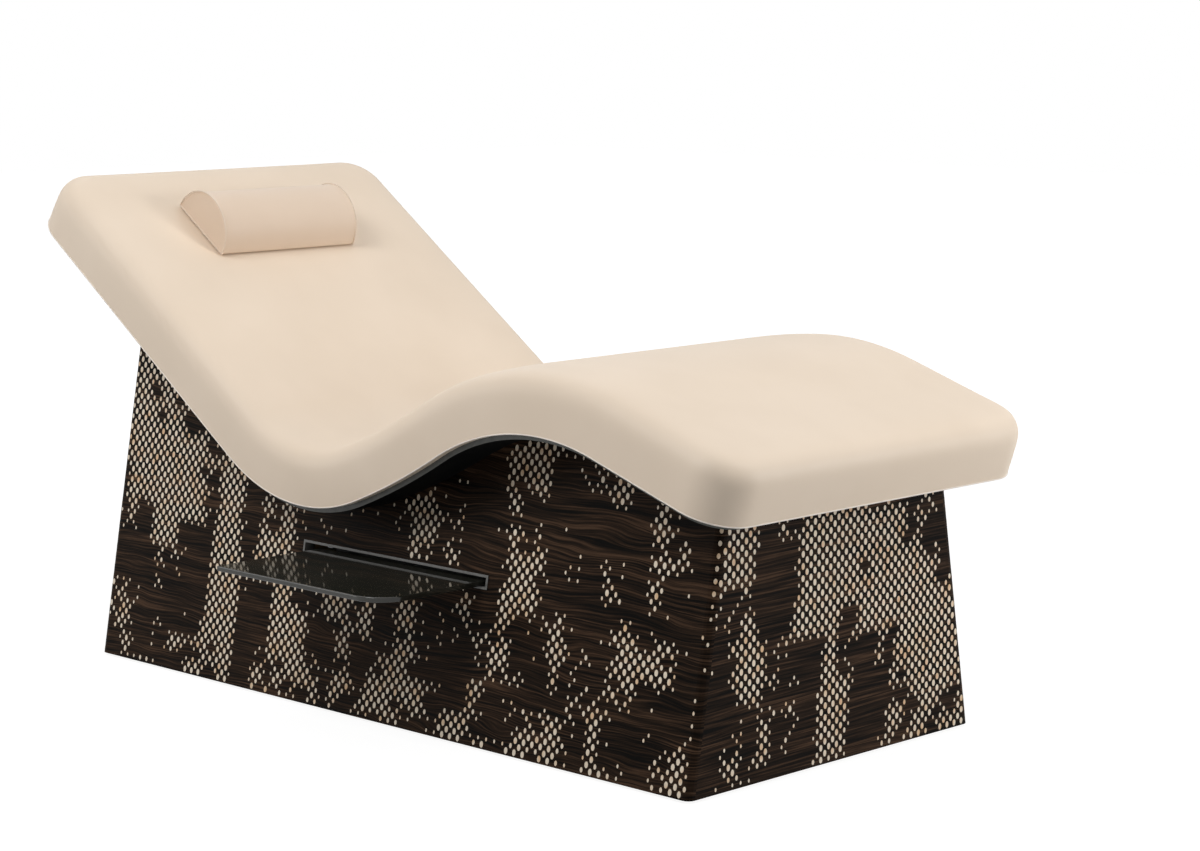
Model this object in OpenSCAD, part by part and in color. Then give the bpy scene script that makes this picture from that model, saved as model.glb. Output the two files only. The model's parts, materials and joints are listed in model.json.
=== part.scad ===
// Spa relaxation lounger: a boarded base with leaning sides under a waved plate, a thick upholstered
// mattress on its own deck, a half-round neck pillow and a gloss shelf that slides out of the near side.
// Millimetres. +X runs from the head end to the foot end, -Y is the side with the shelf, +Z is up.
// The origin is the centre of the base on the floor.

/* [Base] */
// Length of the base, over the veneer
base_l = 1550; // [1400:5:1700]
// Width of the base at its lower edge, over the veneer
base_w = 724; // [650:1:760]
// Lean of the two long sides, in degrees from upright
wall_lean = 9.9; // [4:0.5:12]
// Radius of the four upright corners
corner_r = 14; // [8:1:20]
// Thickness of the veneered facing
facing_t = 3; // [2:0.5:5]
// Thickness of the wall boards and formers
board_t = 18; // [15:1:22]
// Width of the bottom rails
rail_w = 45; // [35:1:60]
// Height of the bottom rails
rail_h = 45; // [35:1:60]
// Side of the square corner posts
post_s = 40; // [30:1:50]
// Diameter of a glide
glide_d = 40; // [30:1:44]
// Height of a glide
glide_h = 5; // [3:1:10]

/* [Lounging curve] */
// Place along the base of the lowest point of the seat, from the middle
seat_x = -114; // [-150:1:-80]
// Height of the deck's underside at the lowest point of the seat
seat_z = 376.5; // [360:0.5:420]
// Radius of the hollow under the seat
seat_r = 366; // [340:1:400]
// Slope of the back, in degrees
back_angle = 35; // [32:0.1:38]
// How far the mattress reaches past the base at the head end
head_overhang = 138.5; // [60:0.1:200]
// Slope where the seat runs into the thigh rise, in degrees
thigh_angle = 21.3; // [19:0.1:24]
// Radius of the thigh rise
thigh_r = 1535; // [1300:5:1800]
// Steepest slope of the thigh rise, in degrees
rise_angle = 29.9; // [28:0.1:33]
// Radius of the bend over the knee
knee_r = 456; // [400:1:470]
// Slope of the calf rest, in degrees
calf_angle = 18.1; // [15:0.1:20]
// How far the mattress reaches past the base at the foot end
foot_overhang = 88.2; // [40:0.1:140]

/* [Mattress] */
// Width of the mattress
mattress_w = 800; // [720:1:860]
// Thickness of the mattress with its deck, at the edge of its flat top
mattress_t = 103; // [90:1:130]
// Radius of the mattress corners in plan
mattress_corner_r = 82; // [60:1:110]
// Radius of the soft top edge
edge_r = 40; // [30:1:50]
// Rise of the top from its edge to its middle
crown = 3; // [2:1:12]
// How far the sides draw in at the lower edge
side_draw = 3; // [1:0.5:8]
// Thickness of the plywood deck
deck_t = 15; // [12:1:18]
// Thickness of the cover
cover_t = 2; // [1.5:0.5:3]
// Width of the cover that is turned under the deck
hem_w = 14; // [8:1:30]
// Thickness of the base's waved plate, which lies inside the hem
plate_t = 11; // [8:1:15]

/* [Pillow] */
// Length of the pillow across the lounger
pillow_l = 332; // [280:1:420]
// Depth of the pillow along the back
pillow_d = 156; // [130:1:190]
// Height of the pillow over the mattress, with its base panel and strips
pillow_h = 78.5; // [60:0.5:95]
// Distance of the pillow's middle from the head end, along the back
pillow_u = 219; // [180:1:400]
// Place of the pillow's middle across the lounger
pillow_y = -16; // [-40:1:40]
// Length of a fastening strip
strip_l = 100; // [60:5:130]
// Width of a fastening strip
strip_w = 25; // [16:1:40]
// Thickness of a fastening strip
strip_t = 1.2; // [0.8:0.1:2]

/* [Shelf] */
// Depth of the shelf
shelf_d = 400; // [340:1:470]
// Thickness of the shelf
shelf_t = 9; // [6:0.5:10]
// Radius of the shelf's large front corner
shelf_corner_r = 60; // [20:1:90]
// Space between the shelf and the slot's end towards the head
shelf_space_head = 37; // [8:0.5:50]
// Space between the shelf and the slot's end towards the foot
shelf_space_foot = 9.5; // [8:0.5:50]
// How far the shelf stands out of the wall as drawn, fully out
shelf_out = 233; // [150:1:245]
// Width of the slot in its frame
slot_l = 474.5; // [380:0.5:560]
// Height of the slot in its frame
slot_h = 16; // [13:0.5:24]
// Place of the slot's middle along the base
slot_x = 25; // [-20:1:40]
// Height of the slot's middle above the floor
slot_z = 280; // [250:0.5:300]
// Width of the slot frame's face
bezel_w = 4.5; // [3:0.5:12]
// How far the slot frame stands proud of the veneer
bezel_t = 2; // [1:0.5:4]
// Thickness of the lining that runs through the wall
lining_t = 1.5; // [1:0.5:3]

/* [Inside] */
// Distance of the back's former from the head end of the base
back_former_in = 255; // [180:1:320]
// Distance of the calf's former from the foot end of the base
calf_former_in = 215; // [150:1:280]
// Clearance of the seat's former from the slot's lining
seat_former_clear = 10; // [4:1:40]
// Clearance of the knee's former from the slot's lining
knee_former_clear = 39; // [20:1:60]
// Width of the battens that tie the waved plate and the shelf board to the formers
batten_w = 28; // [20:1:40]
// Thickness of the board that carries the shelf guides
shelf_board_t = 12; // [9:1:18]
// Wall thickness of the shelf guides
guide_t = 2; // [1.5:0.5:3]
// How far a guide reaches over the shelf's edge
guide_lip = 10; // [6:1:14]
// Width of a guide's screwed foot
guide_foot = 16; // [14:1:20]
// Clearance all round the shelf in its guides
guide_gap = 0.3; // [0.2:0.1:0.5]
// Width and height of the stop bar on the shelf
stop_bar_s = 12; // [10:1:16]
// Width of a rubber buffer
buffer_w = 22; // [14:1:30]
// Thickness of a rubber buffer
buffer_t = 4; // [3:0.5:8]
// Diameter of a guide screw
screw_d = 4; // [3:0.5:5]
// Length of a guide screw under its head
screw_l = 12; // [8:1:13]
// Diameter of a guide screw's head
screw_head_d = 8; // [6:0.5:10]
// Height of a guide screw's head
screw_head_h = 2.5; // [1.5:0.5:3]

/* [Hidden] */
$fn = 64;

// Overrun of every cut, and the clearances of the build
cut = 10;
seat_gap = 0.1;
soft_gap = 0.3;
glue_gap = 0.05;
lining_gap = 0.1;
screw_gap = 0.05;
guide_end_gap = 1;

// Sizes that belong to one piece each
corner_min_r = 1;
front_proud = 6;
guide_past = 12;
glide_inset = 60;
batten_h = 40;
guide_screw_inset = 40;
buffer_h = 8;
pillow_base_t = 3;
pillow_bulge = 2;
pipe_d = 3;
pipe_out = 1.2;
pillow_end_draw = 3;
pillow_edge_clear = 0.4;

// Facet counts of the curved forms
seat_steps = 10;
thigh_steps = 2;
knee_steps = 8;
corner_steps = 3;
edge_steps = 3;
inner_edge_steps = 2;
block_steps = 4;
pillow_steps = 16;

// Columns across the mattress top, as shares of its half width, and how the crown starts at each end
column_shares = [-0.8, -0.45, 0, 0.45, 0.8];
crown_start_shares = [0, 0.5, 0.8, 1];
// Sections of the pillow, as shares of its half length, with the swell of each
swell_shares = [[-0.9, 0.3], [-0.5, 0.85], [0, 1], [0.5, 0.85], [0.9, 0.3]];
// Height of the widest line of the mattress's side, and the draw that is left a fifth of the way up
side_mid_share = 0.22;
side_draw_share = 0.25;
// Places of the glides along half the base, and of the strips along half the pillow
glide_shares = [-1, 0, 1];
strip_shares = [-0.5, 0.5];
buffer_shares = [-0.7, 0.7];
screw_shares = [0, 0.5, 1];

// Walls: depth from the face of the veneer to the back of the boards
wall_t = facing_t + board_t;
rail_top = glide_h + rail_h;

// The lounging curve along the deck's underside, as stations of x, z and slope
seat_c = [seat_x, seat_z + seat_r];
thigh_c = seat_c + (thigh_r - seat_r) * [-sin(thigh_angle), cos(thigh_angle)];
knee_c = thigh_c + (thigh_r + knee_r) * [sin(rise_angle), -cos(rise_angle)];
back_foot = seat_c - seat_r * [sin(back_angle), cos(back_angle)];
back_l = (base_l / 2 + head_overhang + back_foot[0]) / cos(back_angle);
head_p = back_foot + back_l * [-cos(back_angle), sin(back_angle)];
calf_top = knee_c + knee_r * [sin(calf_angle), cos(calf_angle)];
calf_l = (base_l / 2 + foot_overhang - calf_top[0]) / cos(calf_angle);
foot_p = calf_top + calf_l * [cos(calf_angle), -sin(calf_angle)];

function head_station(u) = concat(head_p + u * [cos(back_angle), -sin(back_angle)], [-back_angle]);
function foot_station(w) = concat(foot_p + w * [-cos(calf_angle), sin(calf_angle)], [-calf_angle]);
function hollow_station(c, r, a) = concat(c + r * [sin(a), -cos(a)], [a]);
function bend_station(c, r, a) = concat(c + r * [-sin(a), cos(a)], [a]);
function blend(a, b, share) = a + (b - a) * share;

curve_stations = concat(
  [head_station((mattress_corner_r + back_l) / 2)],
  [for (i = [0 : seat_steps])
    hollow_station(seat_c, seat_r, blend(-back_angle, thigh_angle, i / seat_steps))],
  [for (i = [1 : thigh_steps])
    hollow_station(thigh_c, thigh_r, blend(thigh_angle, rise_angle, i / thigh_steps))],
  [for (i = [1 : knee_steps])
    bend_station(knee_c, knee_r, blend(rise_angle, -calf_angle, i / knee_steps))],
  [foot_station((mattress_corner_r + calf_l) / 2)]
);

// A station moved off the curve, in the side view
function off(s, n) = [s[0] - n * sin(s[2]), s[1] + n * cos(s[2])];
function wave(n) = [for (s = concat([head_station(0)], curve_stations, [foot_station(0)])) off(s, n)];

// Half width of the base at a height, a depth inside the veneer's face
function half_w(z, depth) = base_w / 2 - (z - glide_h) * tan(wall_lean) - depth / cos(wall_lean);

// Shelf, guides and the formers beside them, all worked out from the slot
shelf_w = slot_l - shelf_space_head - shelf_space_foot;
shelf_x = slot_x + (shelf_space_head - shelf_space_foot) / 2;
shelf_z = slot_z - slot_h / 2 + guide_gap * 2;
seat_former_x = slot_x - slot_l / 2 - lining_t - seat_former_clear - board_t / 2;
knee_former_x = slot_x + slot_l / 2 + lining_t + knee_former_clear + board_t / 2;
back_former_x = back_former_in - base_l / 2;
calf_former_x = base_l / 2 - calf_former_in;
wall_front_y = -half_w(slot_z, 0);
shelf_front_y = wall_front_y - shelf_out;
shelf_travel = shelf_out - front_proud;
shelf_back_in_y = shelf_front_y + shelf_d + shelf_travel;
guide_start_y = -half_w(shelf_z + shelf_t + guide_gap + guide_t, wall_t) + guide_end_gap;
guide_end_y = shelf_back_in_y + guide_past;
guide_bottom_z = shelf_z - guide_gap - guide_t;
stop_bar_y = -half_w(shelf_z + shelf_t + stop_bar_s, wall_t) + buffer_t + soft_gap;
board_back_y = guide_end_y + guide_past;

// Height of the walls before the curve cuts them
wall_top = head_p[1];

// Solids of the base

// Points of the rounded outline at a height, a depth inside the veneer's face
function outline(z, depth) =
  let (r = max(corner_r - depth, corner_min_r))
  let (cx = base_l / 2 - depth - r)
  let (cy = half_w(z, depth) - r)
  [for (q = [0 : 3]) for (i = [0 : block_steps])
    let (a = 90 * (q + i / block_steps))
    [(q == 0 || q == 3 ? cx : -cx) + r * cos(a), (q < 2 ? cy : -cy) + r * sin(a), z]];

// The base as one leaning block, a depth inside its face
module block(depth, z_low, z_high) {
  count = 4 * (block_steps + 1);
  polyhedron(
    points = concat(outline(z_low, depth), outline(z_high, depth)),
    faces = concat(
      [[for (k = [0 : count - 1]) k]],
      [[for (k = [0 : count - 1]) 2 * count - 1 - k]],
      [for (k = [0 : count - 1])
        [k, count + k, count + (k + 1) % count, (k + 1) % count]]
    )
  );
}

// Everything inside the boards, a glue line away from them
module inner_room() {
  block(wall_t + glue_gap, glide_h, wall_top);
}

// A hollow wall between two depths
module wall_ring(depth_out, depth_in) {
  difference() {
    block(depth_out, glide_h, wall_top);
    block(depth_in, glide_h - cut, wall_top + cut);
  }
}

// The space under the waved plate, lowered by a gap
module under_plate(gap) {
  rotate([90, 0, 0])
    linear_extrude(height = base_w + 2 * cut, center = true)
      polygon(concat(wave(-plate_t - gap), [[foot_p[0], -cut], [head_p[0], -cut]]));
}

// The space beyond one long side's leaning plane
module beyond_side(depth, side) {
  low = glide_h - cut;
  high = wall_top + cut;
  rotate([90, 0, 90])
    linear_extrude(height = base_l + 2 * cut, center = true)
      polygon([
        [side * half_w(low, depth), low],
        [side * base_w, low],
        [side * base_w, high],
        [side * half_w(high, depth), high]
      ]);
}

// The space between the two leaning planes, in one end half of the base
module end_space(depth, end) {
  low = glide_h - cut;
  high = wall_top + cut;
  intersection() {
    rotate([90, 0, 90])
      linear_extrude(height = base_l + 2 * cut, center = true)
        polygon([
          [-half_w(low, depth), low],
          [half_w(low, depth), low],
          [half_w(high, depth), high],
          [-half_w(high, depth), high]
        ]);
    translate([end * base_l / 2, 0, wall_top / 2])
      cube([base_l - 2 * cut, 2 * base_w, 2 * wall_top], center = true);
  }
}

// The hole that the slot's lining fills, larger by a gap
module slot_hole(gap) {
  long = slot_l + 2 * (lining_t + gap);
  high = slot_h + 2 * (lining_t + gap);
  translate([slot_x, -base_w / 2, slot_z])
    cube([long, base_w - cut, high], center = true);
}

module side_board(side) {
  intersection() {
    wall_ring(facing_t + glue_gap, wall_t);
    beyond_side(wall_t, side);
    under_plate(seat_gap);
  }
}

module end_board(end) {
  intersection() {
    end_space(wall_t + glue_gap, end);
    under_plate(seat_gap);
    translate([end * (base_l / 2 - facing_t - board_t / 2), 0, glide_h + wall_top / 2])
      cube([board_t - glue_gap, base_w, wall_top], center = true);
  }
}

module side_veneer(side) {
  intersection() {
    wall_ring(0, facing_t);
    beyond_side(corner_r, side);
    under_plate(seat_gap);
  }
}

module end_veneer(end) {
  intersection() {
    wall_ring(0, facing_t);
    end_space(corner_r, end);
    under_plate(seat_gap);
  }
}

module side_board_near() {
  color([0.72, 0.60, 0.45])
    difference() {
      side_board(-1);
      slot_hole(lining_gap);
    }
}

module side_board_far() {
  color([0.72, 0.60, 0.45]) side_board(1);
}

module end_board_head() {
  color([0.72, 0.60, 0.45]) end_board(-1);
}

module end_board_foot() {
  color([0.72, 0.60, 0.45]) end_board(1);
}

module veneer_near() {
  color([0.16, 0.12, 0.10])
    difference() {
      side_veneer(-1);
      slot_hole(lining_gap);
    }
}

module veneer_far() {
  color([0.16, 0.12, 0.10]) side_veneer(1);
}

module veneer_head() {
  color([0.16, 0.12, 0.10]) end_veneer(-1);
}

module veneer_foot() {
  color([0.16, 0.12, 0.10]) end_veneer(1);
}

// A square post in a corner, standing on the bottom rails
module corner_post(end, side) {
  reach = base_l / 2 - wall_t - post_s / 2;
  across = half_w(rail_top, wall_t);
  color([0.80, 0.68, 0.50])
    intersection() {
      inner_room();
      under_plate(seat_gap);
      translate([end * reach, side * across / 2, rail_top + wall_top / 2])
        cube([post_s - 2 * seat_gap, across, wall_top], center = true);
      beyond_side(wall_t + post_s, side);
    }
}

module corner_post_head_near() {
  corner_post(-1, -1);
}

module corner_post_head_far() {
  corner_post(-1, 1);
}

module corner_post_foot_near() {
  corner_post(1, -1);
}

module corner_post_foot_far() {
  corner_post(1, 1);
}

// Inner face of the long bottom rails
rail_y = half_w(glide_h, wall_t) - rail_w;

module long_rail(side) {
  color([0.80, 0.68, 0.50])
    intersection() {
      inner_room();
      translate([0, side * (rail_y + rail_w / 2), glide_h + rail_h / 2])
        cube([base_l, rail_w, rail_h], center = true);
    }
}

module cross_rail(x) {
  color([0.80, 0.68, 0.50])
    translate([x, 0, glide_h + rail_h / 2])
      cube([rail_w, 2 * rail_y, rail_h], center = true);
}

end_rail_x = base_l / 2 - wall_t - rail_w / 2;

module bottom_rail_near() {
  long_rail(-1);
}

module bottom_rail_far() {
  long_rail(1);
}

module bottom_rail_head() {
  cross_rail(-end_rail_x);
}

module bottom_rail_middle() {
  cross_rail(0);
}

module bottom_rail_foot() {
  cross_rail(end_rail_x);
}

// An upright board across the base, shaped to the curve
module former(x) {
  color([0.74, 0.62, 0.46])
    intersection() {
      inner_room();
      under_plate(seat_gap);
      translate([x, 0, rail_top + wall_top / 2])
        cube([board_t, base_w, wall_top], center = true);
    }
}

module former_back() {
  former(back_former_x);
}

module former_seat() {
  former(seat_former_x);
}

module former_knee() {
  former(knee_former_x);
}

module former_calf() {
  former(calf_former_x);
}

// A batten on one face of a former, cut to the curve at its top and foot
module deck_batten(x, face) {
  intersection() {
    inner_room();
    difference() {
      under_plate(seat_gap);
      under_plate(batten_h);
    }
    translate([x + face * (board_t + batten_w) / 2, 0, wall_top / 2])
      cube([batten_w, base_w, wall_top], center = true);
  }
}

module deck_battens() {
  color([0.80, 0.68, 0.50]) {
    deck_batten(back_former_x, -1);
    deck_batten(seat_former_x, -1);
    deck_batten(knee_former_x, 1);
    deck_batten(calf_former_x, 1);
  }
}

module glides() {
  reach = base_l / 2 - glide_inset;
  color([0.12, 0.12, 0.12]) {
    cylinder(d = glide_d, h = glide_h);
    for (share = glide_shares)
      for (side = [-1, 1])
        translate([share * reach, side * (rail_y + rail_w / 2), 0])
          cylinder(d = glide_d, h = glide_h);
  }
}

// Plate, deck, foam and cover: rings of points round the plan, laid along the curve

corner_angles = [for (k = [0 : corner_steps]) 90 - 90 * k / corner_steps];

// Stations along one side of a ring that lies a distance inside the outline, each with its half width
function side_stations(inset) =
  let (r = mattress_corner_r - inset)
  let (middle = mattress_w / 2 - mattress_corner_r)
  concat(
    [for (a = corner_angles) concat(head_station(inset + r * (1 - sin(a))), [middle + r * cos(a)])],
    [for (s = curve_stations) concat(s, [mattress_w / 2 - inset])],
    [for (k = [0 : corner_steps])
      let (a = corner_angles[corner_steps - k])
      concat(foot_station(inset + r * (1 - sin(a))), [middle + r * cos(a)])]
  );

function lifted(s, n, across) = [off(s, n)[0], across * s[3], off(s, n)[1]];

// One closed ring: the near side, the foot end, the far side and the head end
function ring(inset, n, columns) =
  let (s = side_stations(inset))
  let (last = len(s) - 1)
  concat(
    [for (k = [0 : last]) lifted(s[k], n, -1)],
    [for (c = columns) lifted(s[last], n, c)],
    [for (k = [0 : last]) lifted(s[last - k], n, 1)],
    [for (k = [len(columns) - 1 : -1 : 0]) lifted(s[0], n, columns[k])]
  );

// Share of the crown at a station, and at a column
function crown_along(k, last) = crown_start_shares[min(min(k, last - k), corner_steps)];
function crown_across(c) = 1 - pow(abs(c), 6);

// Points inside a cap, on every station but the two ends
function cap_points(inset, n, rise, columns) =
  let (s = side_stations(inset))
  let (last = len(s) - 1)
  [for (k = [1 : last - 1]) for (c = columns)
    lifted(s[k], n + rise * crown_along(k, last) * crown_across(c), c)];

// Index of a cap's point in a ring that starts at first, or among the cap's own points
function cap_index(k, col, last, m, first, own) =
  col == 0 ? first + k
  : col == m + 1 ? first + last + 1 + m + last - k
  : k == last ? first + last + col
  : k == 0 ? first + 2 * (last + 1) + m + m - col
  : own + (k - 1) * m + col - 1;

function cap_faces(last, m, first, own, top) =
  [for (k = [0 : last - 1]) for (col = [0 : m])
    let (a = cap_index(k, col, last, m, first, own))
    let (b = cap_index(k + 1, col, last, m, first, own))
    let (c = cap_index(k + 1, col + 1, last, m, first, own))
    let (d = cap_index(k, col + 1, last, m, first, own))
    each (top ? [[a, c, b], [a, d, c]] : [[a, b, c], [a, c, d]])];

// A solid that follows the curve, from a profile of inset and height that starts and ends at a cap
module curved_pad(profile, low_rise, high_rise, columns) {
  last = len(side_stations(0)) - 1;
  m = len(columns);
  count = 2 * (last + 1) + 2 * m;
  rings = len(profile);
  cap_count = (last - 1) * m;
  low = profile[0];
  high = profile[rings - 1];
  polyhedron(
    points = concat(
      [for (p = profile) each ring(p[0], p[1], columns)],
      cap_points(low[0], low[1], low_rise, columns),
      cap_points(high[0], high[1], high_rise, columns)
    ),
    faces = concat(
      cap_faces(last, m, 0, rings * count, false),
      [for (j = [0 : rings - 2]) for (k = [0 : count - 1])
        let (next = (k + 1) % count)
        let (a = j * count + k)
        let (b = j * count + next)
        each [[a, a + count, b + count], [a, b + count, b]]],
      cap_faces(last, m, (rings - 1) * count, rings * count + cap_count, true)
    )
  );
}

// Points of the rounded top edge, a depth inside the cover, from upright to flat or back
function edge_profile(depth, steps) =
  [for (k = [0 : steps])
    let (a = 90 * k / steps)
    [edge_r - (edge_r - depth) * cos(a), mattress_t - edge_r + (edge_r - depth) * sin(a)]];

function reversed(list) = [for (k = [len(list) - 1 : -1 : 0]) list[k]];

// The base's top, a waved plate just inside the mattress's hem
module carrier_plate() {
  inset = side_draw + hem_w + soft_gap;
  color([0.24, 0.27, 0.26])
    curved_pad([[inset, -plate_t], [inset, -seat_gap]], 0, 0, []);
}

// The mattress's own board, which its cover is turned under
module deck() {
  inset = side_draw + cover_t + soft_gap;
  color([0.20, 0.21, 0.20])
    curved_pad([[inset, 0], [inset, deck_t]], 0, 0, []);
}

module mattress_foam() {
  depth = cover_t + soft_gap;
  color([0.93, 0.88, 0.72])
    curved_pad(
      concat([[side_draw + depth, deck_t + soft_gap]], edge_profile(depth, inner_edge_steps)),
      0, crown, column_shares
    );
}

module mattress_cover() {
  side_low = [side_draw * side_draw_share, mattress_t * side_mid_share];
  color([0.91, 0.83, 0.75])
    curved_pad(
      concat(
        reversed(edge_profile(cover_t, inner_edge_steps)),
        [[side_draw + cover_t, -seat_gap]],
        [[side_draw + hem_w, -seat_gap]],
        [[side_draw + hem_w, -cover_t]],
        [[side_draw + cover_t / 2, -cover_t]],
        [side_low],
        edge_profile(0, edge_steps)
      ),
      crown, crown, column_shares
    );
}

// Slot frame: a face on the leaning wall and a lining that runs level through it
module slot_frame() {
  color([0.30, 0.30, 0.28])
    difference() {
      union() {
        translate([slot_x, wall_front_y, slot_z])
          rotate([-wall_lean, 0, 0])
            translate([0, -bezel_t / 2, 0])
              cube([slot_l + 2 * bezel_w, bezel_t, slot_h + 2 * bezel_w], center = true);
        intersection() {
          wall_ring(-bezel_t / 2, wall_t);
          slot_hole(0);
        }
      }
      translate([slot_x, -base_w / 2, slot_z])
        cube([slot_l, base_w - cut, slot_h], center = true);
    }
}

// Between the two formers that carry the shelf
module between_formers(y_end, z_low, high) {
  start = seat_former_x + board_t / 2;
  long = knee_former_x - seat_former_x - board_t;
  intersection() {
    inner_room();
    translate([start, -base_w / 2, z_low])
      cube([long, base_w / 2 + y_end, high]);
  }
}

guide_foot_x = shelf_w / 2 + guide_gap + guide_t + guide_foot / 2;

function screw_y(share) = blend(guide_start_y + guide_screw_inset, guide_end_y - guide_screw_inset, share);

// Shanks of the guide screws, larger by a gap
module screw_shanks(gap) {
  for (side = [-1, 1])
    for (share = screw_shares)
      translate([shelf_x + side * guide_foot_x, screw_y(share), guide_bottom_z + guide_t - screw_l])
        cylinder(d = screw_d + 2 * gap, h = screw_l + gap);
}

module shelf_board() {
  color([0.74, 0.62, 0.46])
    difference() {
      between_formers(board_back_y, guide_bottom_z - shelf_board_t, shelf_board_t);
      screw_shanks(screw_gap);
    }
}

// A batten on a former, under the shelf board
module shelf_batten(x) {
  color([0.80, 0.68, 0.50])
    intersection() {
      between_formers(board_back_y, guide_bottom_z - shelf_board_t - batten_w, batten_w);
      translate([x, 0, guide_bottom_z])
        cube([batten_w, base_w, guide_bottom_z], center = true);
    }
}

module shelf_batten_head() {
  shelf_batten(seat_former_x + (board_t + batten_w) / 2);
}

module shelf_batten_foot() {
  shelf_batten(knee_former_x - (board_t + batten_w) / 2);
}

// A channel with a screwed foot, in which one edge of the shelf runs
module shelf_guide(side) {
  inner = -guide_lip;
  web = guide_gap;
  outer = guide_gap + guide_t;
  far = outer + guide_foot;
  low = guide_bottom_z;
  high = shelf_z + shelf_t + guide_gap;
  section = [
    [inner, low], [far, low], [far, low + guide_t], [outer, low + guide_t],
    [outer, high + guide_t], [inner, high + guide_t], [inner, high], [web, high],
    [web, low + guide_t], [inner, low + guide_t]
  ];
  color([0.25, 0.25, 0.26])
    difference() {
      translate([shelf_x, guide_end_y, 0])
        rotate([90, 0, 0])
          linear_extrude(height = guide_end_y - guide_start_y)
            polygon([for (p = section) [side * (shelf_w / 2 + p[0]), p[1]]]);
      screw_shanks(screw_gap);
    }
}

module shelf_guide_head() {
  shelf_guide(-1);
}

module shelf_guide_foot() {
  shelf_guide(1);
}

module guide_screws() {
  color([0.70, 0.70, 0.72]) {
    screw_shanks(0);
    for (side = [-1, 1])
      for (share = screw_shares)
        translate([shelf_x + side * guide_foot_x, screw_y(share), guide_bottom_z + guide_t])
          cylinder(d = screw_head_d, h = screw_head_h);
  }
}

// Rubber buffers behind the near board, which the stop bar meets when the shelf is out
module front_buffers() {
  color([0.10, 0.10, 0.10])
    for (share = buffer_shares)
      intersection() {
        inner_room();
        translate([shelf_x + share * shelf_w / 2 - buffer_w / 2, -base_w / 2,
                   shelf_z + shelf_t + stop_bar_s - buffer_h])
          cube([buffer_w, base_w / 2 + stop_bar_y - soft_gap, buffer_h]);
      }
}

// Rubber buffers on the shelf board, which the shelf meets when it is in
module rear_buffers() {
  color([0.10, 0.10, 0.10])
    for (share = buffer_shares)
      translate([shelf_x + share * shelf_w / 2 - buffer_w / 2, shelf_back_in_y + soft_gap, guide_bottom_z])
        cube([buffer_w, buffer_t, shelf_z + shelf_t - guide_bottom_z]);
}

// A gloss shelf with one large round front corner
module shelf() {
  color([0.08, 0.08, 0.08])
    translate([shelf_x - shelf_w / 2, shelf_front_y, shelf_z])
      linear_extrude(height = shelf_t) {
        difference() {
          square([shelf_w, shelf_d]);
          translate([shelf_w - shelf_corner_r, -cut])
            square([shelf_corner_r + cut, shelf_corner_r + cut]);
        }
        intersection() {
          square([shelf_w, shelf_d]);
          translate([shelf_w - shelf_corner_r, shelf_corner_r])
            circle(r = shelf_corner_r);
        }
      }
}

module stop_bar() {
  long = shelf_w - 2 * (guide_lip + buffer_t);
  color([0.15, 0.15, 0.16])
    translate([shelf_x - long / 2, stop_bar_y, shelf_z + shelf_t])
      cube([long, stop_bar_s, stop_bar_s]);
}

// Pillow, laid on the back

pillow_seat_n = mattress_t + crown + soft_gap;
hook_z = strip_t + soft_gap;
pillow_base_z = hook_z + strip_t;
pillow_base_top = pillow_base_z + pillow_base_t;
pillow_arch_h = pillow_h - pillow_base_top;
// How far the cover reaches down round the base panel, just clear of the mattress
pillow_skirt_h = pillow_base_top - soft_gap;

// Draws its children in the plane of the back, under the pillow's middle
module on_back() {
  place = off(head_station(pillow_u), pillow_seat_n);
  translate([place[0], pillow_y, place[1]])
    rotate([0, back_angle, 0])
      children();
}

module strips(z) {
  for (share = strip_shares)
    translate([0, share * pillow_l / 2, z + strip_t / 2])
      cube([strip_w, strip_l, strip_t], center = true);
}

module loop_strips() {
  color([0.80, 0.73, 0.66])
    on_back() strips(0);
}

module hook_strips() {
  color([0.70, 0.64, 0.58])
    on_back() strips(hook_z);
}

// The base panel fills the cover between its piped ends
module pillow_base() {
  depth = pillow_d - pipe_d - 2 * (cover_t + soft_gap);
  span = pillow_l - 2 * (cover_t + soft_gap);
  color([0.86, 0.78, 0.70])
    on_back()
      translate([0, 0, pillow_base_z + pillow_base_t / 2])
        cube([depth, span, pillow_base_t], center = true);
}

// Half-round section at y, larger by grow, with its flat side lowered by drop
function arch_section(y, grow, drop) =
  let (r = pillow_d / 2 + grow)
  let (h = pillow_arch_h + grow)
  concat(
    [for (k = [0 : pillow_steps]) let (a = 180 * k / pillow_steps) [r * cos(a), y, h * sin(a)]],
    drop > 0 ? [[-r, y, -drop], [r, y, -drop]] : []
  );

// A solid through a list of sections, each with the same count of points
module through_sections(sections) {
  m = len(sections[0]);
  last = len(sections) - 1;
  polyhedron(
    points = [for (s = sections) each s],
    faces = concat(
      [[for (k = [0 : m - 1]) m - 1 - k]],
      [for (j = [0 : last - 1]) for (k = [0 : m - 1])
        let (next = (k + 1) % m)
        let (a = j * m + k)
        let (b = j * m + next)
        each [[a, b, b + m], [a, b + m, a + m]]],
      [[for (k = [0 : m - 1]) last * m + k]]
    )
  );
}

// The pillow's swell between its ends, a depth inside the cover
function pillow_middle(depth, drop) =
  [for (s = swell_shares)
    arch_section(s[0] * (pillow_l / 2 - depth), pillow_bulge * s[1] - depth, drop)];

module pillow_foam() {
  depth = cover_t + pillow_edge_clear;
  end = pillow_l / 2 - depth;
  color([0.93, 0.88, 0.72])
    on_back()
      translate([0, 0, pillow_base_top + soft_gap])
        through_sections(concat(
          [arch_section(-end, -depth - pillow_end_draw, 0)],
          pillow_middle(depth, 0),
          [arch_section(end, -depth - pillow_end_draw, 0)]
        ));
}

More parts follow.
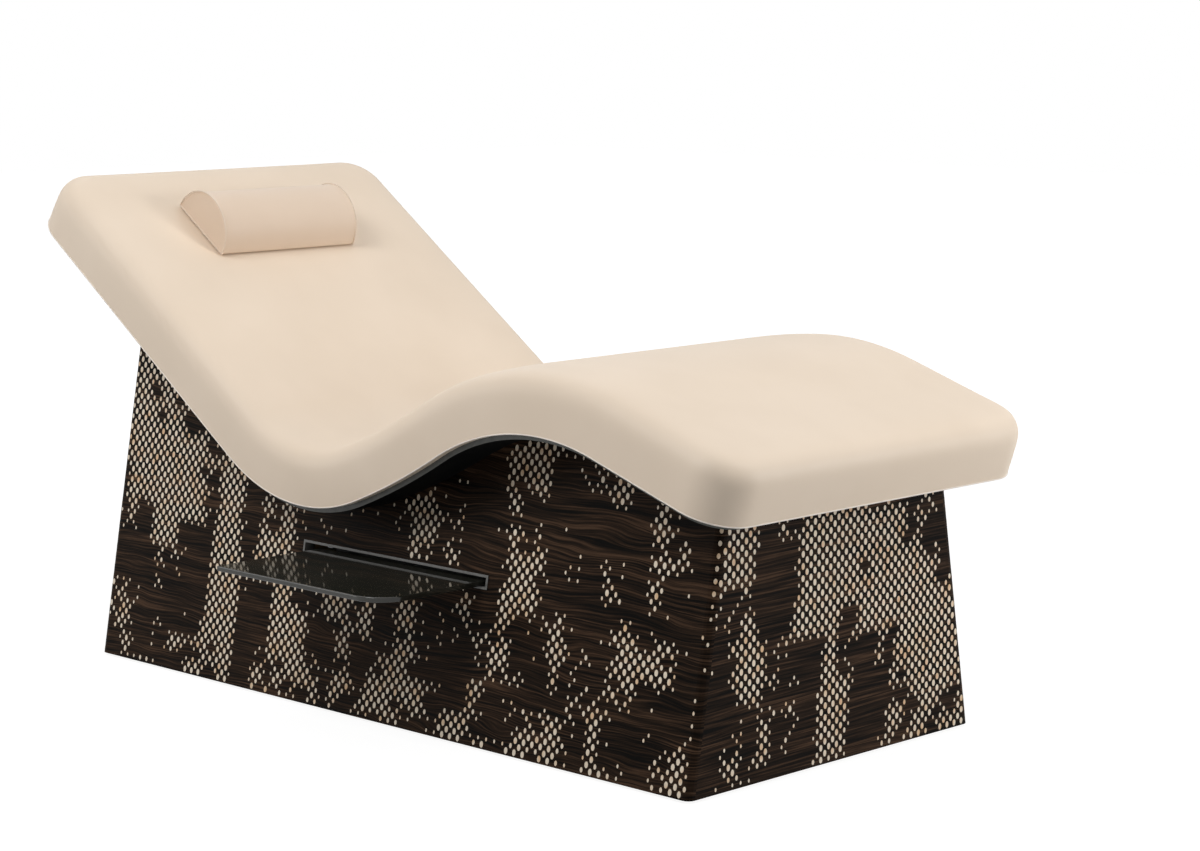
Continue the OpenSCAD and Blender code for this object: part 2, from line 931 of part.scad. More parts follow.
module pillow_cover() {
  end = pillow_l / 2;
  inner_end = end - cover_t;
  color([0.91, 0.83, 0.75])
    on_back()
      translate([0, 0, pillow_base_top])
        difference() {
          through_sections(concat(
            [arch_section(-end, -pipe_d / 2, pillow_skirt_h)],
            [arch_section(-end + pipe_d / 2, pipe_out, pillow_skirt_h)],
            [arch_section(-end + pipe_d, 0, pillow_skirt_h)],
            pillow_middle(0, pillow_skirt_h),
            [arch_section(end - pipe_d, 0, pillow_skirt_h)],
            [arch_section(end - pipe_d / 2, pipe_out, pillow_skirt_h)],
            [arch_section(end, -pipe_d / 2, pillow_skirt_h)]
          ));
          through_sections(concat(
            [arch_section(-inner_end, -cover_t - pipe_d / 2, pillow_skirt_h + cut)],
            pillow_middle(cover_t, pillow_skirt_h + cut),
            [arch_section(inner_end, -cover_t - pipe_d / 2, pillow_skirt_h + cut)]
          ));
        }
}

side_board_near();
side_board_far();
end_board_head();
end_board_foot();
veneer_near();
veneer_far();
veneer_head();
veneer_foot();
corner_post_head_near();
corner_post_head_far();
corner_post_foot_near();
corner_post_foot_far();
bottom_rail_near();
bottom_rail_far();
bottom_rail_head();
bottom_rail_middle();
bottom_rail_foot();
former_back();
former_seat();
former_knee();
former_calf();
deck_battens();
glides();
carrier_plate();
deck();
mattress_foam();
mattress_cover();
slot_frame();
shelf_board();
shelf_batten_head();
shelf_batten_foot();
shelf_guide_head();
shelf_guide_foot();
guide_screws();
front_buffers();
rear_buffers();
shelf();
stop_bar();
loop_strips();
pillow_foam();
pillow_cover();
pillow_base();
hook_strips();
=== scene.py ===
# Spa relaxation lounger: upholstery, finishes, inlays and studio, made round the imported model.
# Metres. +X runs from the head end to the foot end, -Y is the side with the shelf, +Z is up.
import json
import math

import bmesh
import bpy
import numpy as np
from bpy.props import FloatProperty, FloatVectorProperty, IntProperty, PointerProperty
from bpy.types import Operator, Panel, PropertyGroup
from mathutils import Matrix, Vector, noise


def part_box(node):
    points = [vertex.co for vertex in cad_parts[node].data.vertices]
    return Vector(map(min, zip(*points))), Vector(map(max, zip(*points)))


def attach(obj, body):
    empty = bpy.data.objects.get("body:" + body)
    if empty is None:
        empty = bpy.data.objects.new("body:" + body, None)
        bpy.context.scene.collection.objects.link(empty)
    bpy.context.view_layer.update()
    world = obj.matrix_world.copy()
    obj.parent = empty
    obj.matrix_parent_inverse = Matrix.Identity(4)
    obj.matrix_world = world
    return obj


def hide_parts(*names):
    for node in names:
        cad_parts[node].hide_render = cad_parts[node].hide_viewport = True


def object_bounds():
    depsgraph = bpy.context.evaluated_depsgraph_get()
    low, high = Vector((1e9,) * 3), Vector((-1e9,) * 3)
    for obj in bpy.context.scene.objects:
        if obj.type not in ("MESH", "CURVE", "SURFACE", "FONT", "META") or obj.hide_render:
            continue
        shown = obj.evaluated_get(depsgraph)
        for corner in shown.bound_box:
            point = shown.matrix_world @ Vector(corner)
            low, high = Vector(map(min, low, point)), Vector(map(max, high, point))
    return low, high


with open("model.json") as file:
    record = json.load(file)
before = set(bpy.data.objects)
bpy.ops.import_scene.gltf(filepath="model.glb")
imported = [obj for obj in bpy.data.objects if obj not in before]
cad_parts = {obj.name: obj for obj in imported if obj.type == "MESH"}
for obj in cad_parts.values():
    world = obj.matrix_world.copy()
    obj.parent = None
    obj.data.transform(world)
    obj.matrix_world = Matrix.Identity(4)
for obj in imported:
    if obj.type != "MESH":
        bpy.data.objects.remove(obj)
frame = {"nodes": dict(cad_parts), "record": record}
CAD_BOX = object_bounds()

bl_info = {
    "name": "Spa Relaxation Lounger",
    "version": (1, 0, 0),
    "blender": (4, 5, 0),
    "location": "View3D > Sidebar > Lounger",
    "description": "Upholsters and finishes a spa lounger round its packed model and lights it in a studio",
    "category": "Object",
}

MM = 0.001
BLACK, WHITE = (0, 0, 0), (1, 1, 1)
NOISE, CELLS = "ShaderNodeTexNoise", "ShaderNodeTexVoronoi"


def linear(code):
    """Linear red, green and blue of an sRGB hex colour."""
    parts = [int(code[i:i + 2], 16) / 255 for i in (0, 2, 4)]
    return tuple(p / 12.92 if p <= 0.04045 else ((p + 0.055) / 1.055) ** 2.4 for p in parts)


def length_of(name, description, millimetres):
    """A length, given in millimetres and kept in metres."""
    return FloatProperty(name=name, description=description, default=millimetres * MM,
                         unit="LENGTH", subtype="DISTANCE", precision=4)


def angle_of(name, description, degrees):
    """An angle, given in degrees and kept in radians."""
    return FloatProperty(name=name, description=description, default=math.radians(degrees),
                         unit="ROTATION", subtype="ANGLE")


def share_of(name, description, share):
    """A share between 0 and 1."""
    return FloatProperty(name=name, description=description, default=share, subtype="FACTOR", min=0, max=1)


def power_of(name, description, watts):
    """The power of a lamp."""
    return FloatProperty(name=name, description=description, default=watts, unit="POWER")


def colour_of(name, description, code):
    """A colour, given as an sRGB hex value and kept linear."""
    return FloatVectorProperty(name=name, description=description, default=linear(code),
                               size=3, subtype="COLOR", min=0, max=1)


# Sizes and colours that a user would change


class LoungingCurve(PropertyGroup):
    """The curve along the deck's underside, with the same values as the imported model."""

    head_overhang: length_of("Head overhang", "How far the mattress reaches past the base's head end", 138.5)
    back_angle: angle_of("Back angle", "Slope of the back", 35)
    seat_x: length_of("Seat place", "Place along the base of the seat's lowest point", -114)
    seat_z: length_of("Seat height", "Height of the deck's underside at the seat's lowest point", 376.5)
    seat_radius: length_of("Seat radius", "Radius of the hollow under the seat", 366)
    thigh_angle: angle_of("Thigh angle", "Slope where the seat runs into the thigh rise", 21.3)
    thigh_radius: length_of("Thigh radius", "Radius of the thigh rise", 1535)
    rise_angle: angle_of("Rise angle", "Steepest slope of the thigh rise", 29.9)
    knee_radius: length_of("Knee radius", "Radius of the bend over the knee", 456)
    calf_angle: angle_of("Calf angle", "Slope of the calf rest", 18.1)
    foot_overhang: length_of("Foot overhang", "How far the mattress reaches past the base's foot end", 88.2)


class MattressSizes(PropertyGroup):
    """The upholstered mattress."""

    width: length_of("Width", "Width of the mattress", 800)
    thickness: length_of("Thickness", "Thickness at the edge of its flat top", 103)
    corner_radius: length_of("Corner radius", "Radius of the corners in plan", 82)
    crown: length_of("Crown", "How far the middle of the top stands over its edge", 3)
    edge_radius: length_of("Edge radius", "Radius of the soft top edge", 40)
    side_draw: length_of("Side draw", "How far the sides draw in at the lower edge", 3)
    draw_height: length_of("Draw height", "Height over which the sides draw in", 30)
    hem_width: length_of("Hem width", "Width of the cover turned under the deck", 14)
    hem_bead: length_of("Hem bead", "Diameter of the stitched bead along the lower edge", 2.6)
    cover_thickness: length_of("Cover thickness", "Thickness of the cover", 2)
    deck_thickness: length_of("Deck thickness", "Thickness of the plywood deck", 15)
    plate_thickness: length_of("Plate thickness", "Thickness of the base's waved plate, inside the hem", 11)
    soft_gap: length_of("Soft gap", "Clearance between the soft parts and the deck", 0.3)
    cell: length_of("Cell", "Size of the cloth's cells before they are divided", 13)
    swell: length_of("Swell", "Most that the filling pushes the cover out", 2.5)
    pressure: FloatProperty(name="Pressure", description="Pressure of the filling on the cover", default=4)


class PillowSizes(PropertyGroup):
    """The half-round neck pillow."""

    length: length_of("Length", "Length across the lounger", 332)
    depth: length_of("Depth", "Depth along the back", 156)
    height: length_of("Height", "Height over the mattress, with its base panel and strips", 78.5)
    from_head: length_of("From head", "Distance of its middle from the head end, along the back", 219)
    across: length_of("Across", "Place of its middle across the lounger", -16)
    base_top: length_of("Base top", "Height of the base panel's top over the mattress", 5.7)
    cell: length_of("Cell", "Size of the cloth's cells before they are divided", 9)
    swell: length_of("Swell", "Most that the filling pushes the cover out", 2)
    piping: length_of("Piping", "Diameter of the piping round the ends", 2.6)
    under: length_of("Under", "Height of the cover's lower edge over the mattress", 2.4)


class BaseSizes(PropertyGroup):
    """The walls of the base."""

    lean: angle_of("Lean", "How far the long walls lean in", 9.9)
    corner_radius: length_of("Corner radius", "Radius of the upright corners", 14)


class InlayPattern(PropertyGroup):
    """The pale ovals let into the dark veneer."""

    pitch_along: length_of("Pitch along", "Spacing of the ovals along the wall", 19.6)
    pitch_up: length_of("Pitch up", "Spacing of the ovals up the wall", 20.2)
    small_width: length_of("Small width", "Width of the small ovals", 4.2)
    small_height: length_of("Small height", "Height of the small ovals", 6.6)
    middle_width: length_of("Middle width", "Width of the middle ovals", 6.2)
    middle_height: length_of("Middle height", "Height of the middle ovals", 9)
    large_width: length_of("Large width", "Width of the large ovals", 8)
    large_height: length_of("Large height", "Height of the large ovals", 11.3)
    proud: length_of("Proud", "How far the ovals stand over the veneer", 0.15)
    depth: length_of("Depth", "How deep the ovals are let in", 0.5)
    edge_clear: length_of("Edge clearance", "Least distance of an oval from an edge", 2)
    block_width: length_of("Block width", "Width of the upright blocks that the ovals gather in", 96)
    block_height: length_of("Block height", "Height of the upright blocks", 210)
    cover: share_of("Cover", "Share of the wall that is patterned", 0.56)
    layout: IntProperty(name="Layout", description="Number of the pattern's layout", default=11)


class LoungerColours(PropertyGroup):
    """Colours of the finishes."""

    cover: colour_of("Cover", "Mattress cover", "F1DEC8")
    pillow: colour_of("Pillow", "Pillow cover", "EBD5BF")
    veneer_dark: colour_of("Veneer dark", "Darkest grain of the smoked veneer", "040302")
    veneer_light: colour_of("Veneer light", "Lightest grain of the smoked veneer", "513D2F")
    inlay: colour_of("Inlay", "Pale inlay", "F1E2CC")
    inlay_warm: colour_of("Inlay warm", "Inlay with a warmer tone", "E3BE93")
    # Near black: the film's own dark colour, darkened further as painted shade under the mattress
    film_and_painted_shade: colour_of("Film", "Film on both faces of the boards under the mattress", "070707")
    plate: colour_of("Plate", "Lacquered edge of the waved plate", "33352F")
    shelf: colour_of("Shelf", "Lacquer of the shelf", "2A2A24")
    slot_frame: colour_of("Slot frame", "Coating of the slot's frame", "5A5956")
    plywood: colour_of("Plywood", "Bare birch plywood", "C9AE84")
    softwood: colour_of("Softwood", "Planed pine", "D6B98A")
    tape: colour_of("Tape", "Hook-and-loop tape", "CDBBA8")
    floor: colour_of("Floor", "Studio floor", "C8C8C8")


class StudioSetup(PropertyGroup):
    """Camera, lamps and floor."""

    camera_x: length_of("Camera X", "Place of the camera", 3839.8)
    camera_y: length_of("Camera Y", "Place of the camera", -3696.6)
    camera_z: length_of("Camera Z", "Height of the camera", 1267.0)
    camera_dip: angle_of("Camera dip", "How far the camera looks down", 8.3)
    camera_turn: angle_of("Camera turn", "Direction of the camera, from +Y towards -X", 44.36)
    lens: FloatProperty(name="Lens", description="Focal length in millimetres, on a 36 mm sensor", default=88.58)
    sky: FloatProperty(name="Sky", description="Strength of the light from all round", default=0.1)
    lamp_distance: length_of("Lamp distance", "Distance of the lamps from the lounger's middle", 4500)
    top_power: power_of("Top lamp", "Power of the lamp overhead", 57)
    left_power: power_of("Left lamp", "Power of the high lamp at the shelf's side", 82)
    side_power: power_of("Side lamp", "Power of the low lamp off the head end's near corner", 21)
    head_power: power_of("Head lamp", "Power of the high lamp off the head end's far corner", 10)
    right_power: power_of("Right lamp", "Power of the low lamp past the foot end", 58)
    foot_power: power_of("Foot lamp", "Power of the high lamp past the foot end", 42)
    floor_width: length_of("Floor width", "Width of the floor", 28000)
    glow_share: share_of("Glow share", "Share of the floor's look that is its white glow", 0.6)
    glow_near: FloatProperty(name="Near glow", description="Strength of the glow under the lounger", default=1.5)
    glow_far: FloatProperty(name="Far glow", description="Strength of the glow far from it", default=1.75)
    glow_start: length_of("Glow start", "Distance from the middle where the glow begins to grow", 1500)
    glow_end: length_of("Glow end", "Distance from the middle where the glow stops growing", 4000)


class LoungerSettings(PropertyGroup):
    """All the settings of the lounger."""

    curve: PointerProperty(type=LoungingCurve)
    mattress: PointerProperty(type=MattressSizes)
    pillow: PointerProperty(type=PillowSizes)
    base: PointerProperty(type=BaseSizes)
    inlays: PointerProperty(type=InlayPattern)
    colours: PointerProperty(type=LoungerColours)
    studio: PointerProperty(type=StudioSetup)


def settings():
    """The lounger's settings, as kept in the scene."""
    return bpy.context.scene.lounger


# Materials


def add(tree, kind, inputs=None, stops=(), **properties):
    """Adds a node and sets its properties and the stops of its colour ramp.

    A socket is filled with a value, with another node's socket or with another node's first output."""
    made = tree.nodes.new(kind)
    for name, value in properties.items():
        setattr(made, name, value)
    if stops:
        elements = made.color_ramp.elements
        while len(elements) < len(stops):
            elements.new(1)
        for element, (place, colour) in zip(elements, stops):
            element.position = place
            element.color = (*colour, 1)
    for name, value in (inputs or {}).items():
        socket = made.inputs[name]
        if isinstance(value, bpy.types.Node):
            value = value.outputs[0]
        if isinstance(value, bpy.types.NodeSocket):
            tree.links.new(value, socket)
        elif socket.type == "RGBA":
            socket.default_value = (*value, 1)
        else:
            socket.default_value = value
    return made


def emptied(holder):
    """The node tree of a new material or world, without the nodes that it starts with."""
    holder.use_nodes = True
    holder.node_tree.nodes.clear()
    return holder.node_tree


def new_finish(name):
    """A new material, its empty node tree, and the object coordinates that its pattern is laid in."""
    made = bpy.data.materials.new(name)
    tree = emptied(made)
    return made, tree, add(tree, "ShaderNodeTexCoord").outputs["Object"]


def each_way(*millimetres):
    """Scales of a pattern whose features are that many millimetres apart along X, Y and Z."""
    return tuple(1 / (spacing * MM) for spacing in millimetres)


def mixed(colour, share, other=BLACK):
    """A colour with a share of another one in it."""
    return tuple(a * (1 - share) + b * share for a, b in zip(colour, other))


def about(colour, darker, lighter):
    """The stops of a ramp round a colour, with a share of black at its dark end and one of white at its light end."""
    return (0.3, mixed(colour, darker)), (0.7, mixed(colour, lighter, WHITE))


def patterned(name, stops, tone, relief, depth, strength, shine):
    """A finish with one pattern for its tones and one for its relief, whose depth is in millimetres.

    A pattern is a kind of texture, the millimetres between its features along X, Y and Z, the values of its sockets
    and any properties, as pairs of a name and a value. The shine holds the shader's constant values."""
    made, tree, place = new_finish(name)
    laid = []
    for kind, spacing, sockets, *properties in (tone, relief):
        fitted = add(tree, "ShaderNodeMapping", {"Vector": place, "Scale": each_way(*spacing)})
        laid.append(add(tree, kind, {"Vector": fitted, "Scale": 1.0, **sockets}, **dict(properties)))
    base = add(tree, "ShaderNodeValToRGB", {"Fac": laid[0]}, stops=stops)
    bump = add(tree, "ShaderNodeBump", {"Height": laid[1], "Distance": depth * MM, "Strength": strength})
    shader = add(tree, "ShaderNodeBsdfPrincipled", {"Base Color": base, "Normal": bump, **shine})
    add(tree, "ShaderNodeOutputMaterial", {"Surface": shader})
    return made


def coated_upholstery(name, colour):
    """Polyurethane-coated upholstery, calendered: an even colour, a fine pebbled grain and a soft low sheen."""
    clouds = (NOISE, (160, 160, 160), {"Detail": 2.0})
    pebbles = (CELLS, (1.4, 1.4, 1.4), {}, ("feature", "SMOOTH_F1"))
    return patterned(name, about(colour, 0.035, 0.03), clouds, pebbles, 0.12, 0.35,
                     {"Roughness": 0.52, "IOR": 1.46, "Sheen Weight": 0.12, "Sheen Roughness": 0.45})


def smoked_veneer(name, dark, light, *wave):
    """Smoked oak veneer, sliced and oiled: nearly black and matt, with lighter grain that waves along the wall.

    The wave says how many millimetres apart the bends of the grain are along X, Y and Z."""
    made, tree, place = new_finish(name)
    slow = add(tree, "ShaderNodeMapping", {"Vector": place, "Scale": each_way(*wave)})
    drift = add(tree, NOISE, {"Vector": slow, "Scale": 1.0, "Detail": 2.0})
    sway = add(tree, "ShaderNodeVectorMath", {0: drift.outputs["Color"], 1: (0.5, 0.5, 0.5)}, operation="SUBTRACT")
    push = add(tree, "ShaderNodeVectorMath", {0: sway, "Scale": 50 * MM}, operation="SCALE")
    bent = add(tree, "ShaderNodeVectorMath", {0: place, 1: push}, operation="ADD")
    fibres = add(tree, "ShaderNodeMapping", {"Vector": bent, "Scale": each_way(180, 180, 3.3)})
    grain = add(tree, NOISE, {"Vector": fibres, "Scale": 1.0, "Detail": 6.0, "Roughness": 0.62})
    bands = add(tree, "ShaderNodeMapping", {"Vector": bent, "Scale": each_way(400, 400, 20)})
    figure = add(tree, NOISE, {"Vector": bands, "Scale": 1.0, "Detail": 3.0})
    both = add(tree, "ShaderNodeMix", {"Factor": 0.25, "A": grain, "B": figure})
    base = add(tree, "ShaderNodeValToRGB", {"Fac": both},
               stops=((0.42, dark), (0.53, mixed(dark, 0.28, light)), (0.63, light)))
    relief = add(tree, "ShaderNodeBump", {"Height": grain, "Distance": 0.15 * MM, "Strength": 0.25})
    shader = add(tree, "ShaderNodeBsdfPrincipled", {"Base Color": base, "Normal": relief, "Roughness": 0.5,
                                                    "IOR": 1.45, "Specular IOR Level": 0.04})
    add(tree, "ShaderNodeOutputMaterial", {"Surface": shader})
    return made


def pale_inlay(name, colour, warm):
    """Maple inlay, sanded flush under satin lacquer: cream, and here and there a warmer piece."""
    patches = (NOISE, (24, 24, 24), {"Detail": 1.0})
    fibres = (NOISE, (30, 30, 0.9), {"Detail": 3.0})
    return patterned(name, ((0.45, colour), (0.56, mixed(colour, 0.3, warm)), (0.72, warm)), patches, fibres,
                     0.05, 0.2, {"Roughness": 0.45, "IOR": 1.5})


def film_faced_plywood(name, colour):
    """Film-faced plywood: a dark phenolic facing, matt over the faint weave that pressed it; its near-black colour
    here is partly its own and partly painted shade under the mattress.
    """
    clouds = (NOISE, (60, 60, 60), {"Detail": 3.0})
    weave = (CELLS, (1.6, 1.6, 1.6), {})
    return patterned(name, about(colour, 0.12, 0.002), clouds, weave, 0.05, 0.2,
                     {"Roughness": 0.8, "IOR": 1.55, "Specular IOR Level": 0.05})


def gloss_lacquer(name, colour):
    """Black lacquer on a thin board, buffed: a mirror shine with the faintest orange peel."""
    clouds = (NOISE, (40, 40, 40), {"Detail": 2.0})
    peel = (NOISE, (5, 5, 5), {"Detail": 1.0})
    return patterned(name, about(colour, 0, 0.004), clouds, peel, 0.01, 0.15,
                     {"Roughness": 0.06, "IOR": 1.5, "Specular IOR Level": 0.35, "Coat Weight": 0.15,
                      "Coat Roughness": 0.03})


def sprayed_coat(name, colour, roughness):
    """A sprayed coat, powder on steel or satin lacquer on wood: an even colour with a fine orange peel."""
    clouds = (NOISE, (15, 15, 15), {"Detail": 2.0})
    peel = (NOISE, (1.2, 1.2, 1.2), {"Detail": 2.0})
    return patterned(name, about(colour, 0.08, 0.03), clouds, peel, 0.03, 0.3, {"Roughness": roughness, "IOR": 1.5})


def moulded(name, code, roughness):
    """Moulded rubber or nylon: black and matt, with a fine spark-eroded texture."""
    grit = (NOISE, (0.8, 0.8, 0.8), {"Detail": 2.0})
    return patterned(name, about(linear(code), 0, 0.01), grit, grit, 0.04, 0.4, {"Roughness": roughness, "IOR": 1.5})


def sawn_wood(name, colour, across, up, contrast):
    """Bare plywood or planed softwood: pale, open and matt, with straight grain along it."""
    grain = (NOISE, (260, across, up), {"Detail": 5.0, "Roughness": 0.6})
    return patterned(name, ((0.32, mixed(colour, contrast)), (0.5, colour), (0.7, mixed(colour, 0.06, WHITE))),
                     grain, grain, 0.1, 0.3, {"Roughness": 0.72, "IOR": 1.5})


def looped_tape(name, colour):
    """Hook-and-loop tape, woven: a matt nap of tiny loops."""
    loops = (CELLS, (1.1, 1.1, 1.1), {})
    return patterned(name, ((0.1, colour), (0.8, mixed(colour, 0.35))), loops, loops, 0.4, 0.6,
                     {"Roughness": 0.9, "IOR": 1.45, "Sheen Weight": 0.3})


def bare_metal(name, code, roughness, spacing):
    """Bare metal with the fine lines that its drawing or plating leaves, spaced in millimetres along X, Y and Z."""
    made, tree, place = new_finish(name)
    colour = linear(code)
    drawn = add(tree, "ShaderNodeMapping", {"Vector": place, "Scale": each_way(*spacing)})
    lines = add(tree, NOISE, {"Vector": drawn, "Scale": 1.0, "Detail": 4.0})
    base = add(tree, "ShaderNodeValToRGB", {"Fac": lines}, stops=((0.3, mixed(colour, 0.12)), (0.7, colour)))
    shine = add(tree, "ShaderNodeMapRange", {"Value": lines, "To Min": roughness * 0.8, "To Max": roughness * 1.25})
    shader = add(tree, "ShaderNodeBsdfPrincipled", {"Base Color": base, "Roughness": shine, "Metallic": 1.0})
    add(tree, "ShaderNodeOutputMaterial", {"Surface": shader})
    return made


# Shapes

# Shares of the swell by which the padded pieces start inside their outlines
MATTRESS_START, PILLOW_START = 0.95, 0.9
# Height of the mattress's last ring of side points, as a share of a cell
LAST_CELL = 0.35
# How far the hem's bead and the piping are sunk, as shares of their radius
HEM_SUNK, PIPING_SUNK = 0.3, 1.25
# Number of steps in the piping's arch
ARCH_STEPS = 40


def new_piece(name, points, faces, *materials):
    """A mesh object in the row's own place."""
    mesh = bpy.data.meshes.new(name)
    mesh.from_pydata([tuple(p) for p in points], [], faces)
    mesh.update()
    piece = bpy.data.objects.new(name, mesh)
    bpy.context.scene.collection.objects.link(piece)
    for material in materials:
        mesh.materials.append(material)
    return piece


def coordinates(mesh):
    """The places of a mesh's points."""
    flat = np.empty(len(mesh.vertices) * 3)
    mesh.vertices.foreach_get("co", flat)
    return flat.reshape(-1, 3)


def set_coordinates(mesh, points):
    """Moves a mesh's points to these places."""
    mesh.vertices.foreach_set("co", np.asarray(points, np.float32).ravel())
    mesh.update()


def shade(piece, crease_angle=40):
    """Smooth shading that stays sharp over edges steeper than the crease angle, in degrees."""
    for face in piece.data.polygons:
        face.use_smooth = True
    shape = bmesh.new()
    shape.from_mesh(piece.data)
    for edge in shape.edges:
        edge.smooth = len(edge.link_faces) == 2 and edge.calc_face_angle() < math.radians(crease_angle)
    shape.to_mesh(piece.data)
    shape.free()


def apply_modifiers(piece):
    """Puts the piece's modifiers into its mesh."""
    graph = bpy.context.evaluated_depsgraph_get()
    done = bpy.data.meshes.new_from_object(piece.evaluated_get(graph))
    piece.modifiers.clear()
    old = piece.data
    piece.data = done
    bpy.data.meshes.remove(old)


def divide(piece):
    """One level of subdivision."""
    piece.modifiers.new("divide", "SUBSURF").levels = 1
    apply_modifiers(piece)


def inflate(piece, held, pressure, swell, slack=0.03, frames=20):
    """Blows the piece up as cloth, with some points held, and keeps how far each point swells outward.

    The slack is the share by which the cloth is larger than the piece."""
    start = coordinates(piece.data)
    piece.vertex_groups.new(name="held").add([int(i) for i in held], 1, "REPLACE")
    cloth = piece.modifiers.new("cloth", "CLOTH")
    cloth.settings.vertex_group_mass = "held"
    cloth.settings.use_pressure = True
    cloth.settings.uniform_pressure_force = pressure
    cloth.settings.shrink_min = -slack
    cloth.settings.effector_weights.gravity = 0
    cloth.collision_settings.use_collision = False
    cloth.point_cache.frame_end = frames
    scene = bpy.context.scene
    for number in range(1, frames + 1):
        scene.frame_set(number)
    end = coordinates(piece.evaluated_get(bpy.context.evaluated_depsgraph_get()).data)
    piece.modifiers.clear()
    piece.vertex_groups.clear()
    scene.frame_set(1)
    outward = np.array([vertex.normal for vertex in piece.data.vertices])
    out = np.clip(((end - start) * outward).sum(axis=1), 0, None)
    out = evened(piece.data, swell * np.tanh(out / swell), list(held))
    set_coordinates(piece.data, start + outward * out[:, None])


def evened(mesh, values, held, rounds=6):
    """Values of the points, averaged with their neighbours', with those of the held points at zero."""
    one, other = np.array([edge.vertices for edge in mesh.edges]).T
    count = 1 + np.bincount(one, minlength=len(values)) + np.bincount(other, minlength=len(values))
    for _ in range(rounds):
        values[held] = 0
        near = np.bincount(one, values[other], len(values)) + np.bincount(other, values[one], len(values))
        values = (values + near) / count
    values[held] = 0
    return values


class WavedPath:
    """The lounging curve: the straight back, the hollow seat, the thigh rise, the bend over the knee and the calf."""

    def __init__(self, sizes):
        low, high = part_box("veneer_near")
        half = (high.x - low.x) / 2
        foot_of_back = sizes.seat_x - sizes.seat_radius * math.sin(sizes.back_angle)
        back = (half + sizes.head_overhang + foot_of_back) / math.cos(sizes.back_angle)
        x = -half - sizes.head_overhang
        z = sizes.seat_z + sizes.seat_radius * (1 - math.cos(sizes.back_angle)) + back * math.sin(sizes.back_angle)
        slope = -sizes.back_angle
        bends = [
            (back, 0),
            (sizes.seat_radius * (sizes.back_angle + sizes.thigh_angle), 1 / sizes.seat_radius),
            (sizes.thigh_radius * (sizes.rise_angle - sizes.thigh_angle), 1 / sizes.thigh_radius),
            (sizes.knee_radius * (sizes.rise_angle + sizes.calf_angle), -1 / sizes.knee_radius),
        ]
        self.starts = []
        self.length = 0
        for long, bend in bends:
            self.starts.append((self.length, x, z, slope, bend))
            self.length += long
            x, z, slope = (float(v) for v in self.step(x, z, slope, bend, long))
        self.starts.append((self.length, x, z, slope, 0))
        self.length += (half + sizes.foot_overhang - x) / math.cos(sizes.calf_angle)

    @staticmethod
    def step(x, z, slope, bend, far):
        """Place and slope a distance further along a stretch of even bend."""
        if bend == 0:
            return x + far * np.cos(slope), z + far * np.sin(slope), slope + 0 * far
        turned = slope + bend * far
        return x + (np.sin(turned) - np.sin(slope)) / bend, z + (np.cos(slope) - np.cos(turned)) / bend, turned

    def axes(self, along):
        """Directions along the curve, across it and out of it at a distance along."""
        start, _, _, slope, bend = [s for s in self.starts if s[0] <= along][-1]
        turned = slope + bend * (along - start)
        return np.array([(math.cos(turned), 0, math.sin(turned)), (0, 1, 0), (-math.sin(turned), 0, math.cos(turned))])

    def place(self, points):
        """Points of distance along, place across and height over the curve, as points of the row."""
        along, across, up = np.asarray(points, float).T
        result = np.empty((len(along), 3))
        which = np.clip(np.searchsorted([s[0] for s in self.starts], along, side="right") - 1, 0, None)
        for number, (start, x, z, slope, bend) in enumerate(self.starts):
            here = which == number
            px, pz, turned = self.step(x, z, slope, bend, along[here] - start)
            result[here, 0] = px - up[here] * np.sin(turned)
            result[here, 1] = across[here]
            result[here, 2] = pz + up[here] * np.cos(turned)
        return result


class RoundedPlan:
    """A rectangle with round corners, as distance along and place across, with a grid of cells over it."""

    def __init__(self, low, high, width, radius, cell):
        self.middle = (low + high) / 2
        self.half = np.array([(high - low) / 2, width / 2])
        self.radius = radius
        self.rows = round((high - low) / cell)
        self.columns = round(width / cell)

    def outward(self, plan):
        """Distance inside the outline and the outward direction, for points near the outline."""
        off = np.abs(plan - (self.middle, 0)) - (self.half - self.radius)
        off = np.maximum(off, 0)
        far = np.maximum(np.linalg.norm(off, axis=1), 1e-12)
        return self.radius - far, off / far[:, None] * np.sign(plan - (self.middle, 0))

    def grid(self):
        """Points of the grid, row by row, its corners drawn in to the round ones."""
        i, j = np.meshgrid(np.arange(self.rows + 1) / self.rows, np.arange(self.columns + 1) / self.columns,
                           indexing="ij")
        plan = (np.stack([i, j], 2).reshape(-1, 2) * 2 - 1) * self.half
        inside = np.clip(1 - (self.half - np.abs(plan)) / self.radius, 0, 1)
        drawn = inside * np.sqrt(1 - inside[:, ::-1] ** 2 / 2)
        return plan - np.sign(plan) * (inside - drawn) * self.radius + (self.middle, 0)

    def border(self):
        """Numbers of the grid's border points: near side, foot end, far side, head end."""
        wide, last = self.columns + 1, self.rows
        near = [i * wide for i in range(last)]
        foot = [last * wide + j for j in range(self.columns)]
        far = [i * wide + self.columns for i in range(last, 0, -1)]
        head = [j for j in range(self.columns, 0, -1)]
        return near + foot + far + head

    def rim(self):
        """The grid's border points and their outward directions."""
        flat = self.grid()[self.border()]
        return flat, self.outward(flat)[1]

    def grid_faces(self):
        """Faces of the grid, seen from above."""
        wide = self.columns + 1
        return [(i * wide + j, (i + 1) * wide + j, (i + 1) * wide + j + 1, i * wide + j + 1)
                for i in range(self.rows) for j in range(self.columns)]

    def strip_faces(self, first):
        """Faces that close a loop of border points with one strip across for each row, seen from below."""
        rows, columns = self.rows, self.columns
        near = [first + i for i in range(rows + 1)]
        far = [first + rows + columns + i for i in range(rows, -1, -1)]
        count = 2 * (rows + columns)
        head = [first + (rows + columns + rows + k) % count for k in range(columns + 1)]
        foot = [first + rows + k for k in range(columns + 1)]
        strips = [(near[i], far[i], far[i + 1], near[i + 1]) for i in range(rows)]
        return strips + [tuple(reversed(head)), tuple(reversed(foot))]


